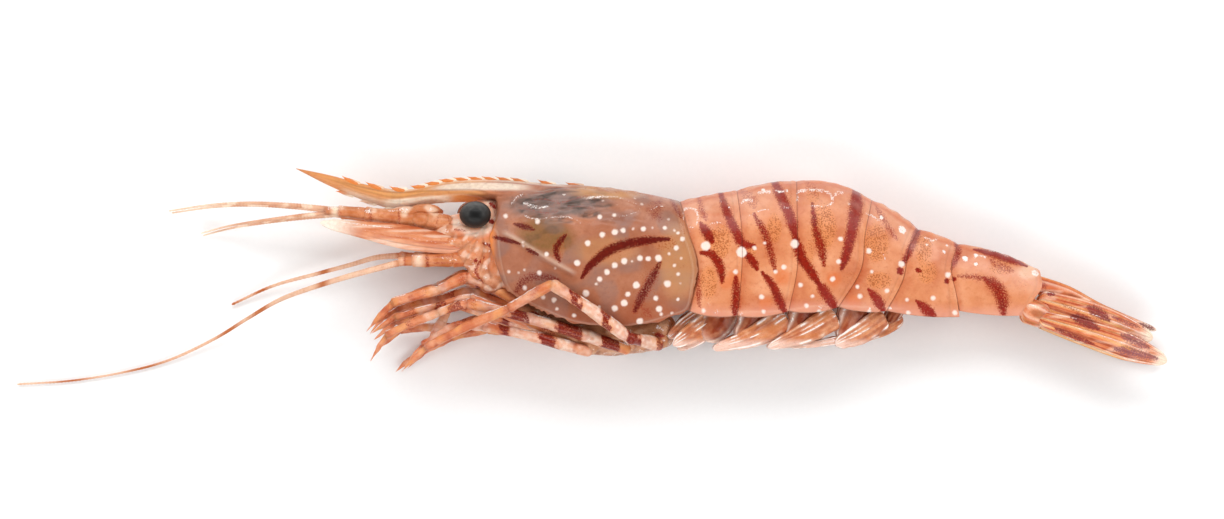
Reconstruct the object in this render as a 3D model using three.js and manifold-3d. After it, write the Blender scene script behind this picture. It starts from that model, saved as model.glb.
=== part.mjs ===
// A whole raw coonstripe shrimp, lying on its right side as it would on a tray. Millimetres.
// +X runs from head to tail, +Y from belly to back and +Z up from the table, so the left side is on top.
// The origin is under the middle of the whole outline, at the level of the table.
//
// Two builders make nearly everything. plate() lofts one ring of the shell between its front and rear
// edges, with side flaps round a hollow belly. sweep() draws an ellipse of changing size along a path, for
// limbs, feelers, blades and stalks. Pieces keep a small clearance, as the real shell has soft skin between.
import * as THREE from "three";
import { mergeVertices } from "three/addons/utils/BufferGeometryUtils.js";
import Module from "manifold-3d";

const wasm = await Module();
wasm.setup();

// ---- Driving dimensions ----
const CLEARANCE = 0.3; // between neighbouring pieces
const TUCK_STEP = 0.35; // how far a ring's front end sits inside the ring before it
const FLAP_WALL = 1.1; // thickness of a side flap where it leaves the belly

const BODY_REST = 8.6; // height of the mid-plane over the table, at the carapace
const TAIL_REST = 5.5; // the same at the tail fan, which droops to the table
const DROOP_X = 56; // where the droop is half done
const DROOP_RUN = 10; // how gently it comes on

// Edges between the rings, each from the back ridge down to the lower margin, as [x, y].
const FACE_EDGE = [[-16.7, 15.0], [-15.5, 10.8], [-17.2, 6.4], [-16.0, 2.0], [-14.4, -2.7]];
const RING_EDGES = [
  [[14.9, 12.6], [16.2, 7.4], [17.9, 1.3], [16.5, -6.0]],
  [[24.4, 14.4], [25.1, 7.7], [25.1, 1.0], [24.4, -6.7]],
  [[34.4, 16.0], [34.4, 8.6], [34.4, 1.3], [33.0, -5.9]],
  [[47.1, 12.9], [45.8, 6.9], [45.1, 1.0], [41.4, -5.2]],
  [[55.0, 7.9], [53.2, 4.4], [52.2, -0.7], [49.5, -5.9]],
  [[61.6, 5.5], [60.4, 1.3], [61.2, -2.7], [61.9, -6.9]],
  [[75.6, 1.0], [75.8, -1.8], [74.4, -4.0], [72.7, -6.7]],
];
// For each tail ring: how far its back and its lower margin bulge, and its half-width in front, middle, rear.
const TAIL_RINGS = [
  { back: 0.15, belly: 0.5, halfWidth: [7.9, 8.3, 8.4] },
  { back: 0.4, belly: 0.6, halfWidth: [8.2, 8.6, 8.4] },
  { back: 1.25, belly: 0.6, halfWidth: [8.1, 8.0, 7.2] },
  { back: 0.6, belly: 0.5, halfWidth: [6.9, 6.5, 5.8] },
  { back: 0.35, belly: 0.4, halfWidth: [5.6, 5.3, 4.8] },
  { back: 0.75, belly: 0.3, halfWidth: [4.5, 4.4, 4.0] },
];
const LAST_RING_MARGIN = -5.9; // lower margin of the sixth ring where it leaves the fifth

// The shell over the head and chest: how far its edges bulge, and its half-width from front to rear.
const CARAPACE = { back: 1.4, belly: 4.7, halfWidth: [6.2, 8.4, 8.9, 8.9, 8.5] };

// Rostrum, the toothed blade over the eyes: knots of [x, y] or [x, half-width].
const ROSTRUM_RIDGE = [
  [-49.8, 18.15], [-44, 16.95], [-38, 15.4], [-32, 14.6], [-24, 16.1], [-16, 16.3], [-4, 15.3],
];
const ROSTRUM_KEEL = [
  [-49.8, 18.05], [-44, 15.1], [-38, 12.6], [-32.6, 11.2], [-28, 11.9], [-24, 12.3], [-16, 12.4], [-4, 12.0],
];
const ROSTRUM_HALF = [[-49.8, 0.1], [-44, 0.75], [-38, 1.0], [-32, 1.2], [-24, 1.9], [-16, 4.6], [-4, 5.6]];
const ROSTRUM_SECTION = [[0, 0], [0.3, 0.5], [0.62, 1], [0.8, 0.7], [1, 0]]; // shares of height, half-width
// Teeth on the ridge: [first x, spacing, count], from the rear forward.
const RIDGE_TEETH = [[-3.6, 4.7, 3], [-15.4, 2.4, 7], [-33.3, 4.0, 3]];
const KEEL_TEETH = [[-34.5, 3.9, 3]];
// A tooth's path as [x, y] from a point on the edge, leaning forward, and its half-sizes along it.
const TOOTH_PATH = [[1.9, -0.6], [0.5, -0.1], [-0.9, 0.5]];
const TOOTH_WIDE = [0.3, 0.22, 0.05];
const TOOTH_DEEP = [0.6, 0.45, 0.05];

// The face between the shell and the mouth, edges as for a ring, and the socket wall behind each eye.
const HEAD_FRONT = [[-25.4, 9.8], [-26.6, 7.2], [-25.4, 3.8], [-21.4, 1.3]];
const HEAD_REAR = [[-16.2, 11.7], [-17.3, 7.4], [-16.9, 3.4], [-15.0, -2.3]];
const HEAD_HALF = [3.4, 4.6, 5.4];
const HEAD_BULGE = 0.2;
const SOCKET = [-17.4, 10.6, BODY_REST];
const SOCKET_RADII = [3.0, 2.9, 3.7];

// The underside of the chest: the line along its middle as [x, y], and its half-sizes.
const CHEST_LINE = [[-14.2, -3.2], [-6, -8.6], [3, -10.2], [14.2, -8.6]];
const CHEST_WIDE = [3.2, 4.2, 4.8, 4.4];
const CHEST_DEEP = [1.6, 2.8, 3.2, 3.2];

const EYE_LEFT = [-19.5, 10.3, 14.0];
const EYE_RIGHT = [-20.1, 10.45, 3.3];
const EYE_RADII = [2.65, 2.25, 2.4];
const STALK_ROOT = [-18.6, 9.9, 0.9]; // x, y and distance from the mid-plane
const STALK_BEND = [-18.9, 10.2, 3];
const STALK_WIDE = [1.1, 1.2, 1.5];

// Limbs, by joint, from the hip out to the tip. The left ones are on top.
const LIMBS = {
  maxilliped_left: {
    joints: [
      [-11.6, -4.6, 12.0], [-20.9, -0.1, 12.5], [-25.5, -2.3, 12.3], [-33.3, -4.4, 11.6], [-37.9, -9.4, 10.9],
    ],
    radii: [0.95, 1.0, 0.9, 0.55],
  },
  leg_1_left: {
    joints: [
      [-9.5, -7.4, 10.9], [-19.9, -2.2, 10.3], [-25.8, -3.9, 10.1], [-32.6, -5.6, 9.9], [-37.0, -8.4, 9.3],
    ],
    radii: [0.75, 0.7, 0.65, 0.45],
  },
  leg_2_left: {
    joints: [
      [-5.3, -10.2, 11.8], [-20.3, -3.6, 12.2], [-26.1, -5.2, 12.3], [-32.8, -7.0, 11.4], [-37.4, -9.9, 10.2],
    ],
    radii: [0.8, 0.75, 0.7, 0.45],
  },
  leg_3_left: {
    joints: [
      [-0.3, -12.8, 12.4], [-18.2, -8.4, 13.6], [-22.6, -8.2, 13.0], [-28.2, -11.6, 11.4],
      [-31.9, -16.2, 10.2],
    ],
    radii: [1.0, 0.85, 0.8, 0.45],
  },
  leg_4_left: {
    joints: [
      [6.1, -12.4, 13.0], [-20.7, -4.5, 15.0], [-25.5, -6.1, 14.4], [-34.4, -9.9, 12.4], [-37.2, -14.4, 11.0],
    ],
    radii: [1.05, 0.85, 0.75, 0.45],
  },
  leg_5_left: {
    joints: [
      [11.4, -11.6, 12.8], [6.3, -10.4, 17.6], [-6.5, -1.4, 18.5], [-13.7, -5.4, 17.8], [-27.6, -11.9, 14.4],
      [-32.0, -16.1, 12.6],
    ],
    radii: [1.15, 1.15, 0.95, 0.85, 0.5],
  },
  maxilliped_right: {
    joints: [
      [-12.0, -4.6, 5.0], [-21.3, 0.3, 4.7], [-25.9, -1.9, 4.9], [-33.6, -4.9, 5.4], [-37.5, -9.9, 5.8],
    ],
    radii: [0.95, 1.0, 0.9, 0.55],
  },
  leg_1_right: {
    joints: [
      [-9.2, -7.7, 7.6], [-19.3, -2.6, 8.2], [-25.2, -4.4, 8.2], [-31.6, -6.0, 8.1], [-36.2, -8.8, 7.8],
    ],
    radii: [0.75, 0.7, 0.65, 0.45],
  },
  leg_2_right: {
    joints: [
      [-5.6, -10.5, 7.0], [-20.9, -4.2, 7.0], [-26.6, -5.9, 6.6], [-33.0, -7.8, 6.2], [-37.0, -11.0, 5.4],
    ],
    radii: [0.8, 0.75, 0.7, 0.45],
  },
  leg_3_right: {
    joints: [
      [-0.6, -12.9, 5.8], [-23.9, -4.4, 5.0], [-25.2, -7.6, 5.0], [-27.4, -12.0, 4.8], [-31.2, -15.7, 4.2],
    ],
    radii: [1.0, 0.9, 0.95, 0.45],
  },
  leg_4_right: {
    joints: [
      [6.3, -12.5, 4.4], [-18.6, -7.3, 3.0], [-23.4, -8.6, 3.0], [-32.4, -9.2, 2.4], [-36.6, -12.8, 1.6],
    ],
    radii: [1.05, 0.85, 0.75, 0.45],
  },
  leg_5_right: {
    joints: [
      [11.2, -11.6, 4.6], [5.6, -11.9, 1.9], [-17.6, -9.0, 1.2], [-23.8, -10.4, 1.2], [-30.0, -13.6, 1.0],
      [-33.4, -16.4, 0.8],
    ],
    radii: [1.05, 1.0, 0.85, 0.75, 0.5],
  },
};

// Swimmerets: a broad arm under each ring and thin blades folded forward like tiles. A line is [x, y] down
// the middle, wide its half-widths, and out how far its two ends lie from the mid-plane.
const SWIMMERETS = [
  {
    arm: { line: [[22.6, -4.6], [20.9, -8.0], [18.6, -10.6]], wide: [2.0, 1.9, 1.2], out: [3.6, 4.2] },
    blades: [
      { line: [[20.4, -6.2], [16.6, -9.6], [13.8, -11.6]], wide: [1.4, 1.1, 0.5], out: [4.0, 5.2] },
      { line: [[20.6, -8.8], [17.4, -11.1], [14.4, -12.3]], wide: [0.9, 0.8, 0.45], out: [3.8, 4.2] },
    ],
  },
  {
    arm: { line: [[28.2, -4.4], [26.9, -8.6], [24.4, -10.8]], wide: [2.2, 1.9, 1.1], out: [3.6, 4.8] },
    blades: [
      { line: [[32.7, -6.8], [27.4, -10.0], [20.4, -12.2]], wide: [2.3, 1.8, 0.6], out: [4.7, 5.8] },
      { line: [[31.0, -9.8], [27.6, -11.0], [24.0, -12.1]], wide: [1.1, 0.9, 0.5], out: [3.6, 4.2] },
    ],
  },
  {
    arm: { line: [[37.0, -4.2], [35.6, -8.4], [33.0, -10.7]], wide: [2.2, 1.9, 1.1], out: [3.4, 4.7] },
    blades: [
      { line: [[41.1, -6.6], [36.0, -9.5], [29.6, -12.0]], wide: [2.3, 1.8, 0.6], out: [4.6, 5.7] },
      { line: [[39.0, -9.6], [35.4, -10.9], [31.6, -11.9]], wide: [1.1, 0.9, 0.5], out: [3.5, 4.1] },
    ],
  },
  {
    arm: { line: [[45.0, -4.2], [43.8, -8.2], [41.6, -10.6]], wide: [2.1, 1.8, 1.1], out: [2.7, 3.8] },
    blades: [
      { line: [[49.4, -6.8], [45.2, -9.6], [41.0, -11.5]], wide: [2.0, 1.9, 1.0], out: [3.2, 4.5] },
      { line: [[43.6, -10.4], [38.4, -11.3], [33.4, -11.9]], wide: [0.8, 0.6, 0.4], out: [3.4, 4.8] },
    ],
  },
  {
    arm: { line: [[51.8, -4.8], [49.8, -8.4]], wide: [1.5, 1.3], out: [1.8, 1.5] },
    blades: [{ line: [[52.4, -7.0], [49.2, -8.8], [45.4, -10.4]], wide: [1.0, 1.3, 0.8], out: [2.0, 1.6] }],
  },
];
const ARM_THICK = 0.8;
const BLADE_THICK = [0.4, 0.35, 0.25];

// Feelers. The small pair has a jointed stem and two whips, the long pair a stem, a scale and one whip.
const ANTENNULE_JOINTS = [
  [-23.9, 8.9, 10.5], [-32.2, 9.75, 10.5], [-37.8, 10.45, 10.5], [-42.4, 10.9, 10.5], [-44.4, 11, 10.3],
];
const ANTENNULE_RADII = [1.5, 1.3, 1.05, 0.8];
const ANTENNULE_TOP = [
  [-43.2, 11.2, 10.2], [-50, 11.9, 9.4], [-57.5, 12.3, 7.4], [-64.5, 12.0, 4.2], [-71.7, 11.0, 0.7],
];
const ANTENNULE_LOW = [
  [-43.2, 10.7, 10.0], [-49.5, 10.1, 8.6], [-56, 9.3, 5.8], [-61.6, 8.4, 2.8], [-66.3, 7.2, 0.6],
];
const ANTENNULE_OFFSET = [0.4, -0.35]; // of the right one in side view
const WHIP_RADII = [0.45, 0.4]; // of the upper and the lower whip where they start
const WHIP_TAPER = [1, 0.6, 0.3];

const ANTENNA_LEFT = {
  joints: [
    [-18.4, 3.0, 12.2], [-23.1, 2.8, 12.5], [-27.6, 2.65, 12.5], [-29.8, 2.6, 12.5], [-32.2, 2.4, 12.5],
  ],
  whip: [
    [-31.6, 2.4, 12.5], [-38.5, 0.6, 12.0], [-45.6, -1.5, 10.6], [-52.5, -4.0, 7.4], [-58.2, -7.2, 4.0],
    [-64.0, -10.7, 1.5], [-71.7, -14.3, 0.6], [-79.6, -16.4, 0.45], [-88.4, -17.8, 0.4], [-97.6, -18.4, 0.35],
  ],
  wide: [0.6, 0.45, 0.3, 0.2, 0.16],
  steps: 22,
};
const ANTENNA_RIGHT = {
  joints: [[-18.4, 3.0, 5.0], [-23.1, 2.9, 4.7], [-27.6, 2.8, 4.7], [-29.8, 3.0, 4.7], [-32.2, 3.4, 4.7]],
  whip: [
    [-31.6, 3.5, 4.7], [-36.4, 3.1, 4.4], [-40.7, 1.9, 3.7], [-46.0, 0.5, 2.8], [-54.0, -1.7, 1.4],
    [-61.1, -4.9, 0.5],
  ],
  wide: [0.55, 0.38, 0.2],
  steps: 9,
};
const ANTENNA_RADII = [1.45, 1.25, 1.2, 0.85];

const SCALE_LINE = [[-21.6, 4.9, 12.6], [-32.3, 6.7, 12.9], [-45.6, 9.0, 11.6]];
const SCALE_WIDE = [1.3, 1.95, 2.1, 1.45, 0.8];
const SCALE_THICK = [0.7, 0.45, 0.3];
const SCALE_LEAN = 0.31; // how much its lower edge lies further out

// Tail fan, as [x, y] from root to tip.
const TELSON_LINE = [[76.0, -1.7], [80.5, -3.1], [86.0, -5.7], [95.4, -9.2]];
const TELSON_WIDE = [2.3, 1.9, 1.3, 0.6];
const TELSON_DEEP = [1.7, 1.4, 1.0, 0.4];
const FAN_OUTER = {
  line: [[76.6, -7.6], [87, -10.8], [96.8, -14.3]], out: 4.1, lean: 0.2, wide: [1.5, 2.2, 2.4, 1.3],
};
const FAN_INNER = {
  line: [[76.4, -4.4], [85.5, -7.2], [94.4, -10.6]], out: 2.6, lean: 0.2, wide: [1.9, 2.4, 2.2, 1.2],
};
const FAN_THICK = [0.55, 0.45, 0.25];
// The short stout base that carries both blades: [x, y], and how far it lies from the mid-plane.
const FAN_BASE = { line: [[73.4, -5.8], [76.5, -7.1]], out: 3.0, wide: [1.4, 1.2], deep: [2.2, 2.0] };
const FAN_BASE_REST = 75; // where the mid-plane is taken for it

const JOINT_REACH = 0.6; // how far a limb segment reaches past its joint, as a share of its radius
const SEGMENT_TAPER = [1, 0.92]; // size at its two ends, as a share of its radius
const CLAW_TAPER = [1, 0.85, 0.3];
const WIDEST_LEVEL = 0.5; // where a ring is widest, as a share of its height from the ridge down
const BACK_POWER = 0.85; // under 1 makes the back squarer
const FLANK_DRAW = 0.14; // how far the lower margin draws in, as a share of the half-width
const ROUNDING = [0.3, 0.71]; // one ring in a rounded end: share of its length, and of the full size
const DETAIL = { round: 7, side: 6, groove: 2, plateSteps: 4 };

// ---- Curves ----
// A smooth line through [position, value] knots, whose positions rise.
function along(knots, x) {
  const last = knots.length - 1;
  let i = 0;
  while (i < last - 1 && x > knots[i + 1][0]) i++;
  const slope = (j) => {
    const before = knots[Math.max(j - 1, 0)];
    const after = knots[Math.min(j + 1, last)];
    return (after[1] - before[1]) / (after[0] - before[0]);
  };
  const run = knots[i + 1][0] - knots[i][0];
  const s = THREE.MathUtils.clamp((x - knots[i][0]) / run, 0, 1);
  const start = knots[i][1] * (1 + 2 * s) * (1 - s) ** 2 + slope(i) * run * s * (1 - s) ** 2;
  const end = knots[i + 1][1] * s * s * (3 - 2 * s) + slope(i + 1) * run * s * s * (s - 1);
  return start + end;
}

// The value at share s of evenly spaced values, or of a single one.
function valueAt(values, s) {
  if (!Array.isArray(values)) return values;
  return along(values.map((value, i) => [i / (values.length - 1), value]), s);
}

// A smooth curve through points given as [x, y] or [x, y, z].
function curveThrough(points) {
  const knots = points.map(([x, y, z = 0]) => new THREE.Vector3(x, y, z));
  return new THREE.CatmullRomCurve3(knots, false, "catmullrom");
}

// Height of the animal's mid-plane over the table.
const midplane = (x) => TAIL_REST + (BODY_REST - TAIL_REST) / (1 + Math.exp((x - DROOP_X) / DROOP_RUN));

const mirrored = ([x, y, z]) => [x, y, 2 * BODY_REST - z];
const grown = (sizes, grow) => sizes.map((size) => size + grow);

// An edge from ridge to margin with its two ends moved apart.
function taller(edge, grow) {
  const [topX, topY] = edge[0];
  const [bottomX, bottomY] = edge.at(-1);
  return [[topX, topY + grow], ...edge.slice(1, -1), [bottomX, bottomY - grow]];
}

// ---- Solids ----
function toSolid(positions, indices) {
  const geometry = new THREE.BufferGeometry();
  geometry.setAttribute("position", new THREE.Float32BufferAttribute(positions, 3));
  geometry.setIndex(indices);
  const merged = mergeVertices(geometry, 1e-4);
  const faces = new Uint32Array(merged.index.array);
  const vertProperties = merged.attributes.position.array;
  const build = (triVerts) => new wasm.Manifold(new wasm.Mesh({ numProp: 3, vertProperties, triVerts }));
  const solid = build(faces);
  return solid.volume() > 0 ? solid : build(faces.reverse());
}

function toGeometry(solid) {
  const { vertProperties, triVerts } = solid.getMesh();
  const geometry = new THREE.BufferGeometry();
  geometry.setAttribute("position", new THREE.BufferAttribute(vertProperties, 3));
  geometry.setIndex(new THREE.BufferAttribute(triVerts, 1));
  const faceted = geometry.toNonIndexed();
  faceted.computeVertexNormals();
  return faceted;
}

const union = (solids) => solids.reduce((whole, piece) => whole.add(piece));

// A band of triangles from each ring of points to the next.
function bands(ringCount, size, offset = 0) {
  const indices = [];
  for (let r = 0; r + 1 < ringCount; r++) {
    for (let i = 0; i < size; i++) {
      const a = offset + r * size + i;
      const b = offset + r * size + ((i + 1) % size);
      indices.push(a, b, b + size, a, b + size, a + size);
    }
  }
  return indices;
}

// ---- Shell rings ----
// Levels from the ridge (0) to the lower margin: share of the height, and share of the half-width.
function level(j) {
  const { round, side } = DETAIL;
  if (j <= round) {
    const angle = ((Math.PI / 2) * j) / round;
    return { height: WIDEST_LEVEL * (1 - Math.cos(angle)), width: Math.sin(angle) ** BACK_POWER };
  }
  const lower = (j - round) / side;
  return { height: WIDEST_LEVEL + (1 - WIDEST_LEVEL) * lower, width: 1 - FLANK_DRAW * lower * lower };
}

// A point in side view, at share u from front to rear edge and share t from ridge to margin.
function sidePoint({ front, rear, back, belly, tuck = 0 }, u, t) {
  const start = curveThrough(front).getPoint(t);
  const end = curveThrough(rear).getPoint(t);
  const bulge = 4 * u * (1 - u) * (back * (1 - t) ** 2 - belly * t * t);
  const inset = tuck * (1 - u) ** 3 * (1 - t);
  return [start.x + (end.x - start.x) * u, start.y + (end.y - start.y) * u + bulge - inset];
}

// One closed ring of the loft: down the right side, across the belly and up the left side.
function plateRing(shape, u) {
  const count = DETAIL.round + DETAIL.side;
  const groove = shape.groove ?? DETAIL.groove;
  const wall = FLAP_WALL + (shape.grow ?? 0);
  const widest = valueAt(shape.halfWidth, u) - (shape.tuck ?? 0) * (1 - u) ** 3;
  const point = (j, side, inward) => {
    const { height, width } = level(j);
    const [x, y] = sidePoint(shape, u, height);
    const z = midplane(x) + side * (widest * width - inward);
    return [x, y, Math.max(z, shape.floor ?? 0)];
  };
  const outer = (side) => Array.from({ length: count }, (_, i) => point(i + 1, side, 0));
  const inner = (side) =>
    Array.from({ length: groove }, (_, i) => point(count - 1 - i, side, (wall * (i + 1)) / groove));
  return [point(0, 1, 0), ...outer(-1), ...inner(-1), ...inner(1).reverse(), ...outer(1).reverse()];
}

// Triangles that close a ring from side to side, level by level, so that two facing ends stay parallel.
function plateCap(groove, offset) {
  const count = DETAIL.round + DETAIL.side;
  const size = 1 + 2 * (count + groove);
  const right = (j) => offset + j;
  const left = (j) => offset + size - j;
  const belly = count - groove;
  const indices = [right(0), right(1), left(1)];
  for (let j = 1; j < belly - 1; j++) {
    indices.push(right(j), right(j + 1), left(j), left(j), right(j + 1), left(j + 1));
  }
  const across = [right(belly - 1), right(belly), left(belly)];
  if (groove) across.splice(2, 0, right(count + groove), left(count + groove));
  for (let i = 0; i + 1 < across.length; i++) indices.push(left(belly - 1), across[i], across[i + 1]);
  for (let k = 0; k < groove; k++) {
    const outer = belly + k;
    const deep = count + groove - k;
    indices.push(right(outer), right(outer + 1), right(deep), left(outer + 1), left(outer), left(deep));
    if (k === groove - 1) continue;
    indices.push(right(outer + 1), right(deep - 1), right(deep), left(deep - 1), left(outer + 1), left(deep));
  }
  return indices;
}

function plate(shape) {
  const steps = shape.steps ?? DETAIL.plateSteps;
  const groove = shape.groove ?? DETAIL.groove;
  const rings = Array.from({ length: steps + 1 }, (_, i) => plateRing(shape, i / steps));
  const size = rings[0].length;
  const start = plateCap(groove, 0).reverse();
  const indices = [...bands(steps + 1, size), ...start, ...plateCap(groove, steps * size)];
  return toSolid(rings.flat(2), indices);
}

// ---- Swept pieces ----
// An ellipse of half-sizes wide and thick carried along a path. ends gives the length of the rounding at
// each end, 0 for a point. across is the direction in which wide is measured.
function sweep({ path, wide, thick = wide, across = [0, 0, 1], ends = [1, 1], steps = 3, sides = 8 }) {
  const curve = curveThrough(path);
  const length = curve.getLength();
  const [first, last] = ends.map((end) => end / length);
  const stations = Array.from({ length: steps + 1 }, (_, i) => [first + ((1 - first - last) * i) / steps, 1]);
  if (first) stations.unshift([first * ROUNDING[0], ROUNDING[1]]);
  else stations.shift();
  if (last) stations.push([1 - last * ROUNDING[0], ROUNDING[1]]);
  else stations.pop();
  const positions = [...path[0]];
  for (const [s, share] of stations) {
    const tangent = curve.getTangent(s);
    const thin = new THREE.Vector3(...across).cross(tangent).normalize();
    const broad = tangent.clone().cross(thin);
    for (let k = 0; k < sides; k++) {
      const angle = (2 * Math.PI * k) / sides;
      const point = curve.getPoint(s)
        .addScaledVector(broad, Math.cos(angle) * valueAt(wide, s) * share)
        .addScaledVector(thin, Math.sin(angle) * valueAt(thick, s) * share);
      positions.push(point.x, point.y, point.z);
    }
  }
  positions.push(...path[path.length - 1]);
  const tip = 1 + stations.length * sides;
  const indices = bands(stations.length, sides, 1);
  for (let k = 0; k < sides; k++) {
    const next = (k + 1) % sides;
    indices.push(0, 1 + next, 1 + k, tip, tip - sides + k, tip - sides + next);
  }
  return toSolid(positions, indices);
}

// Straight segments from joint to joint, each reaching a little past its joints so that they hold together.
function chain({ joints, radii, pointed = true, sides = 6 }) {
  const segments = radii.map((radius, i) => {
    const [from, to] = [joints[i], joints[i + 1]].map((p) => new THREE.Vector3(...p));
    const reach = to.clone().sub(from).normalize().multiplyScalar(radius * JOINT_REACH);
    const claw = pointed && i === radii.length - 1;
    return sweep({
      path: [from.sub(reach).toArray(), claw ? joints[i + 1] : to.add(reach).toArray()],
      wide: (claw ? CLAW_TAPER : SEGMENT_TAPER).map((share) => share * radius),
      ends: [radius, claw ? 0 : radius],
      steps: 1,
      sides,
    });
  });
  return union(segments);
}

function ball(centre, radii, segments = 12) {
  const geometry = new THREE.SphereGeometry(1, segments, segments / 2);
  geometry.scale(...radii);
  geometry.translate(...centre);
  return toSolid(geometry.attributes.position.array, Array.from(geometry.index.array));
}

// ---- Head ----
const carapaceShape = (grow) => ({
  front: FACE_EDGE.map(([x, y]) => [x - grow, y]),
  rear: RING_EDGES[0],
  back: CARAPACE.back + grow,
  belly: CARAPACE.belly,
  halfWidth: grown(CARAPACE.halfWidth, grow),
  floor: -grow,
  steps: 10,
});

// A tooth stands on an edge of the rostrum at [x, y]; up is 1 on the ridge and -1 on the keel.
function tooth(x, y, up) {
  const path = TOOTH_PATH.map(([ahead, height]) => [x + ahead, y + height * up, BODY_REST]);
  return sweep({ path, wide: TOOTH_WIDE, thick: TOOTH_DEEP, ends: [0.4, 0], steps: 2, sides: 4 });
}

function teeth(rows, line, up) {
  const made = [];
  for (const [first, spacing, count] of rows) {
    for (let i = 0; i < count; i++) {
      const x = first - i * spacing;
      made.push(tooth(x, along(line, x), up));
    }
  }
  return made;
}

// The blade itself, lofted from its tip back to the middle of the shell.
function rostrum(grow = 0) {
  const steps = 16;
  const start = ROSTRUM_RIDGE[0][0];
  const end = ROSTRUM_RIDGE.at(-1)[0];
  const flank = ROSTRUM_SECTION.slice(1, -1);
  const rings = Array.from({ length: steps + 1 }, (_, i) => {
    const x = start + ((end - start) * i) / steps;
    const top = along(ROSTRUM_RIDGE, x) + grow;
    const bottom = along(ROSTRUM_KEEL, x) - grow;
    const half = along(ROSTRUM_HALF, x) + grow;
    const y = (share) => top + (bottom - top) * share;
    const point = ([share, width], side) => [x, y(share), BODY_REST + side * half * width];
    const down = ROSTRUM_SECTION.map((knot) => point(knot, -1));
    const up = flank.map((knot) => point(knot, 1)).reverse();
    return [...down, ...up];
  });
  const size = rings[0].length;
  const corners = Array.from({ length: size - 2 }, (_, i) => i + 1);
  const closing = (first) => corners.flatMap((i) => [first, first + i + 1, first + i]);
  const ends = [...closing(0), ...closing(steps * size).reverse()];
  return toSolid(rings.flat(2), [...bands(steps + 1, size), ...ends]);
}

function carapace() {
  const blade = [rostrum(), ...teeth(RIDGE_TEETH, ROSTRUM_RIDGE, 1), ...teeth(KEEL_TEETH, ROSTRUM_KEEL, -1)];
  return plate(carapaceShape(0)).add(union(blade));
}

// The front of the head. It carries the eyes and the feelers.
function head(grow) {
  const face = plate({
    front: taller(HEAD_FRONT.map(([x, y]) => [x - grow, y]), grow),
    rear: taller(HEAD_REAR.map(([x, y]) => [x + grow, y]), grow),
    back: HEAD_BULGE,
    belly: HEAD_BULGE,
    halfWidth: grown(HEAD_HALF, grow),
    groove: 0,
    steps: 4,
  });
  return face.add(ball(SOCKET, grown(SOCKET_RADII, grow)));
}

// The underside of the chest, where the legs join. It fits up between the carapace flaps.
const chest = (grow) =>
  sweep({
    path: CHEST_LINE.map(([x, y]) => [x, y, BODY_REST]),
    wide: grown(CHEST_WIDE, grow),
    thick: grown(CHEST_DEEP, grow),
    ends: [2.5, 2.5],
    steps: 5,
    sides: 12,
  });

function eye(centre, side) {
  const stalk = [STALK_ROOT, STALK_BEND].map(([x, y, out]) => [x, y, BODY_REST + side * out]);
  return ball(centre, EYE_RADII).add(sweep({ path: [...stalk, centre], wide: STALK_WIDE, sides: 7 }));
}

// The right small feeler is the left one's mirror, set a little back, with whips that droop less.
function antennule(side) {
  const [back, up] = side > 0 ? [0, 0] : ANTENNULE_OFFSET;
  const offset = ([x, y, z]) => [x + back, y + up, z];
  const start = ANTENNULE_TOP[0][2];
  const droop = side > 0 ? 1 : (2 * BODY_REST - start) / start;
  const whip = (points, radius) =>
    sweep({
      path: points.map(([x, y, z]) => offset([x, y, z * droop])),
      wide: WHIP_TAPER.map((share) => share * radius),
      ends: [0.4, 0],
      steps: 7,
      sides: 4,
    });
  const joints = ANTENNULE_JOINTS.map((joint) => offset(side > 0 ? joint : mirrored(joint)));
  const stem = chain({ joints, radii: ANTENNULE_RADII, pointed: false });
  const [topRadius, lowRadius] = WHIP_RADII;
  return union([stem, whip(ANTENNULE_TOP, topRadius), whip(ANTENNULE_LOW, lowRadius)]);
}

const antennaStem = ({ joints }, grow) =>
  chain({ joints, radii: grown(ANTENNA_RADII, grow), pointed: false });

function antenna(shape) {
  const { whip, wide, steps } = shape;
  return antennaStem(shape, 0).add(sweep({ path: whip, wide, steps, ends: [0.6, 0.4], sides: 5 }));
}

// The broad scale beside each long feeler, with its face to the side.
function antennalScale(side) {
  return sweep({
    path: SCALE_LINE.map((point) => (side > 0 ? point : mirrored(point))),
    wide: SCALE_WIDE,
    thick: SCALE_THICK,
    across: [0, -Math.cos(SCALE_LEAN), Math.sin(SCALE_LEAN) * side],
    ends: [2, 3],
    steps: 4,
  });
}

// ---- Swimmerets ----
// A flat part of a swimmeret. Its face lies in the side view.
function leaf({ line, wide, out }, thick, ends, side) {
  const path = line.map(([x, y], i) => {
    const share = i / (line.length - 1);
    return [x, y, midplane(x) + side * (out[0] + (out[1] - out[0]) * share)];
  });
  return sweep({ path, wide, thick, across: [0, 1, 0], ends, steps: line.length - 1, sides: 6 });
}

function swimmeret({ arm, blades }, side) {
  return union([
    leaf(arm, ARM_THICK, [1.0, 1.4], side),
    ...blades.map((blade) => leaf(blade, BLADE_THICK, [0.9, 1.2], side)),
  ]);
}

// ---- Tail ----
function tailRingShape(index, grow = 0) {
  const front = RING_EDGES[index].map(([x, y]) => [x + CLEARANCE - grow, y]);
  const rear = RING_EDGES[index + 1].map(([x, y]) => [x + grow, y]);
  if (index === TAIL_RINGS.length - 1) front.at(-1)[1] = LAST_RING_MARGIN;
  for (const edge of [front, rear]) edge.at(-1)[1] -= grow;
  const halfWidth = grown(TAIL_RINGS[index].halfWidth, grow);
  return { ...TAIL_RINGS[index], front, rear, halfWidth, grow, tuck: TUCK_STEP };
}

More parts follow.
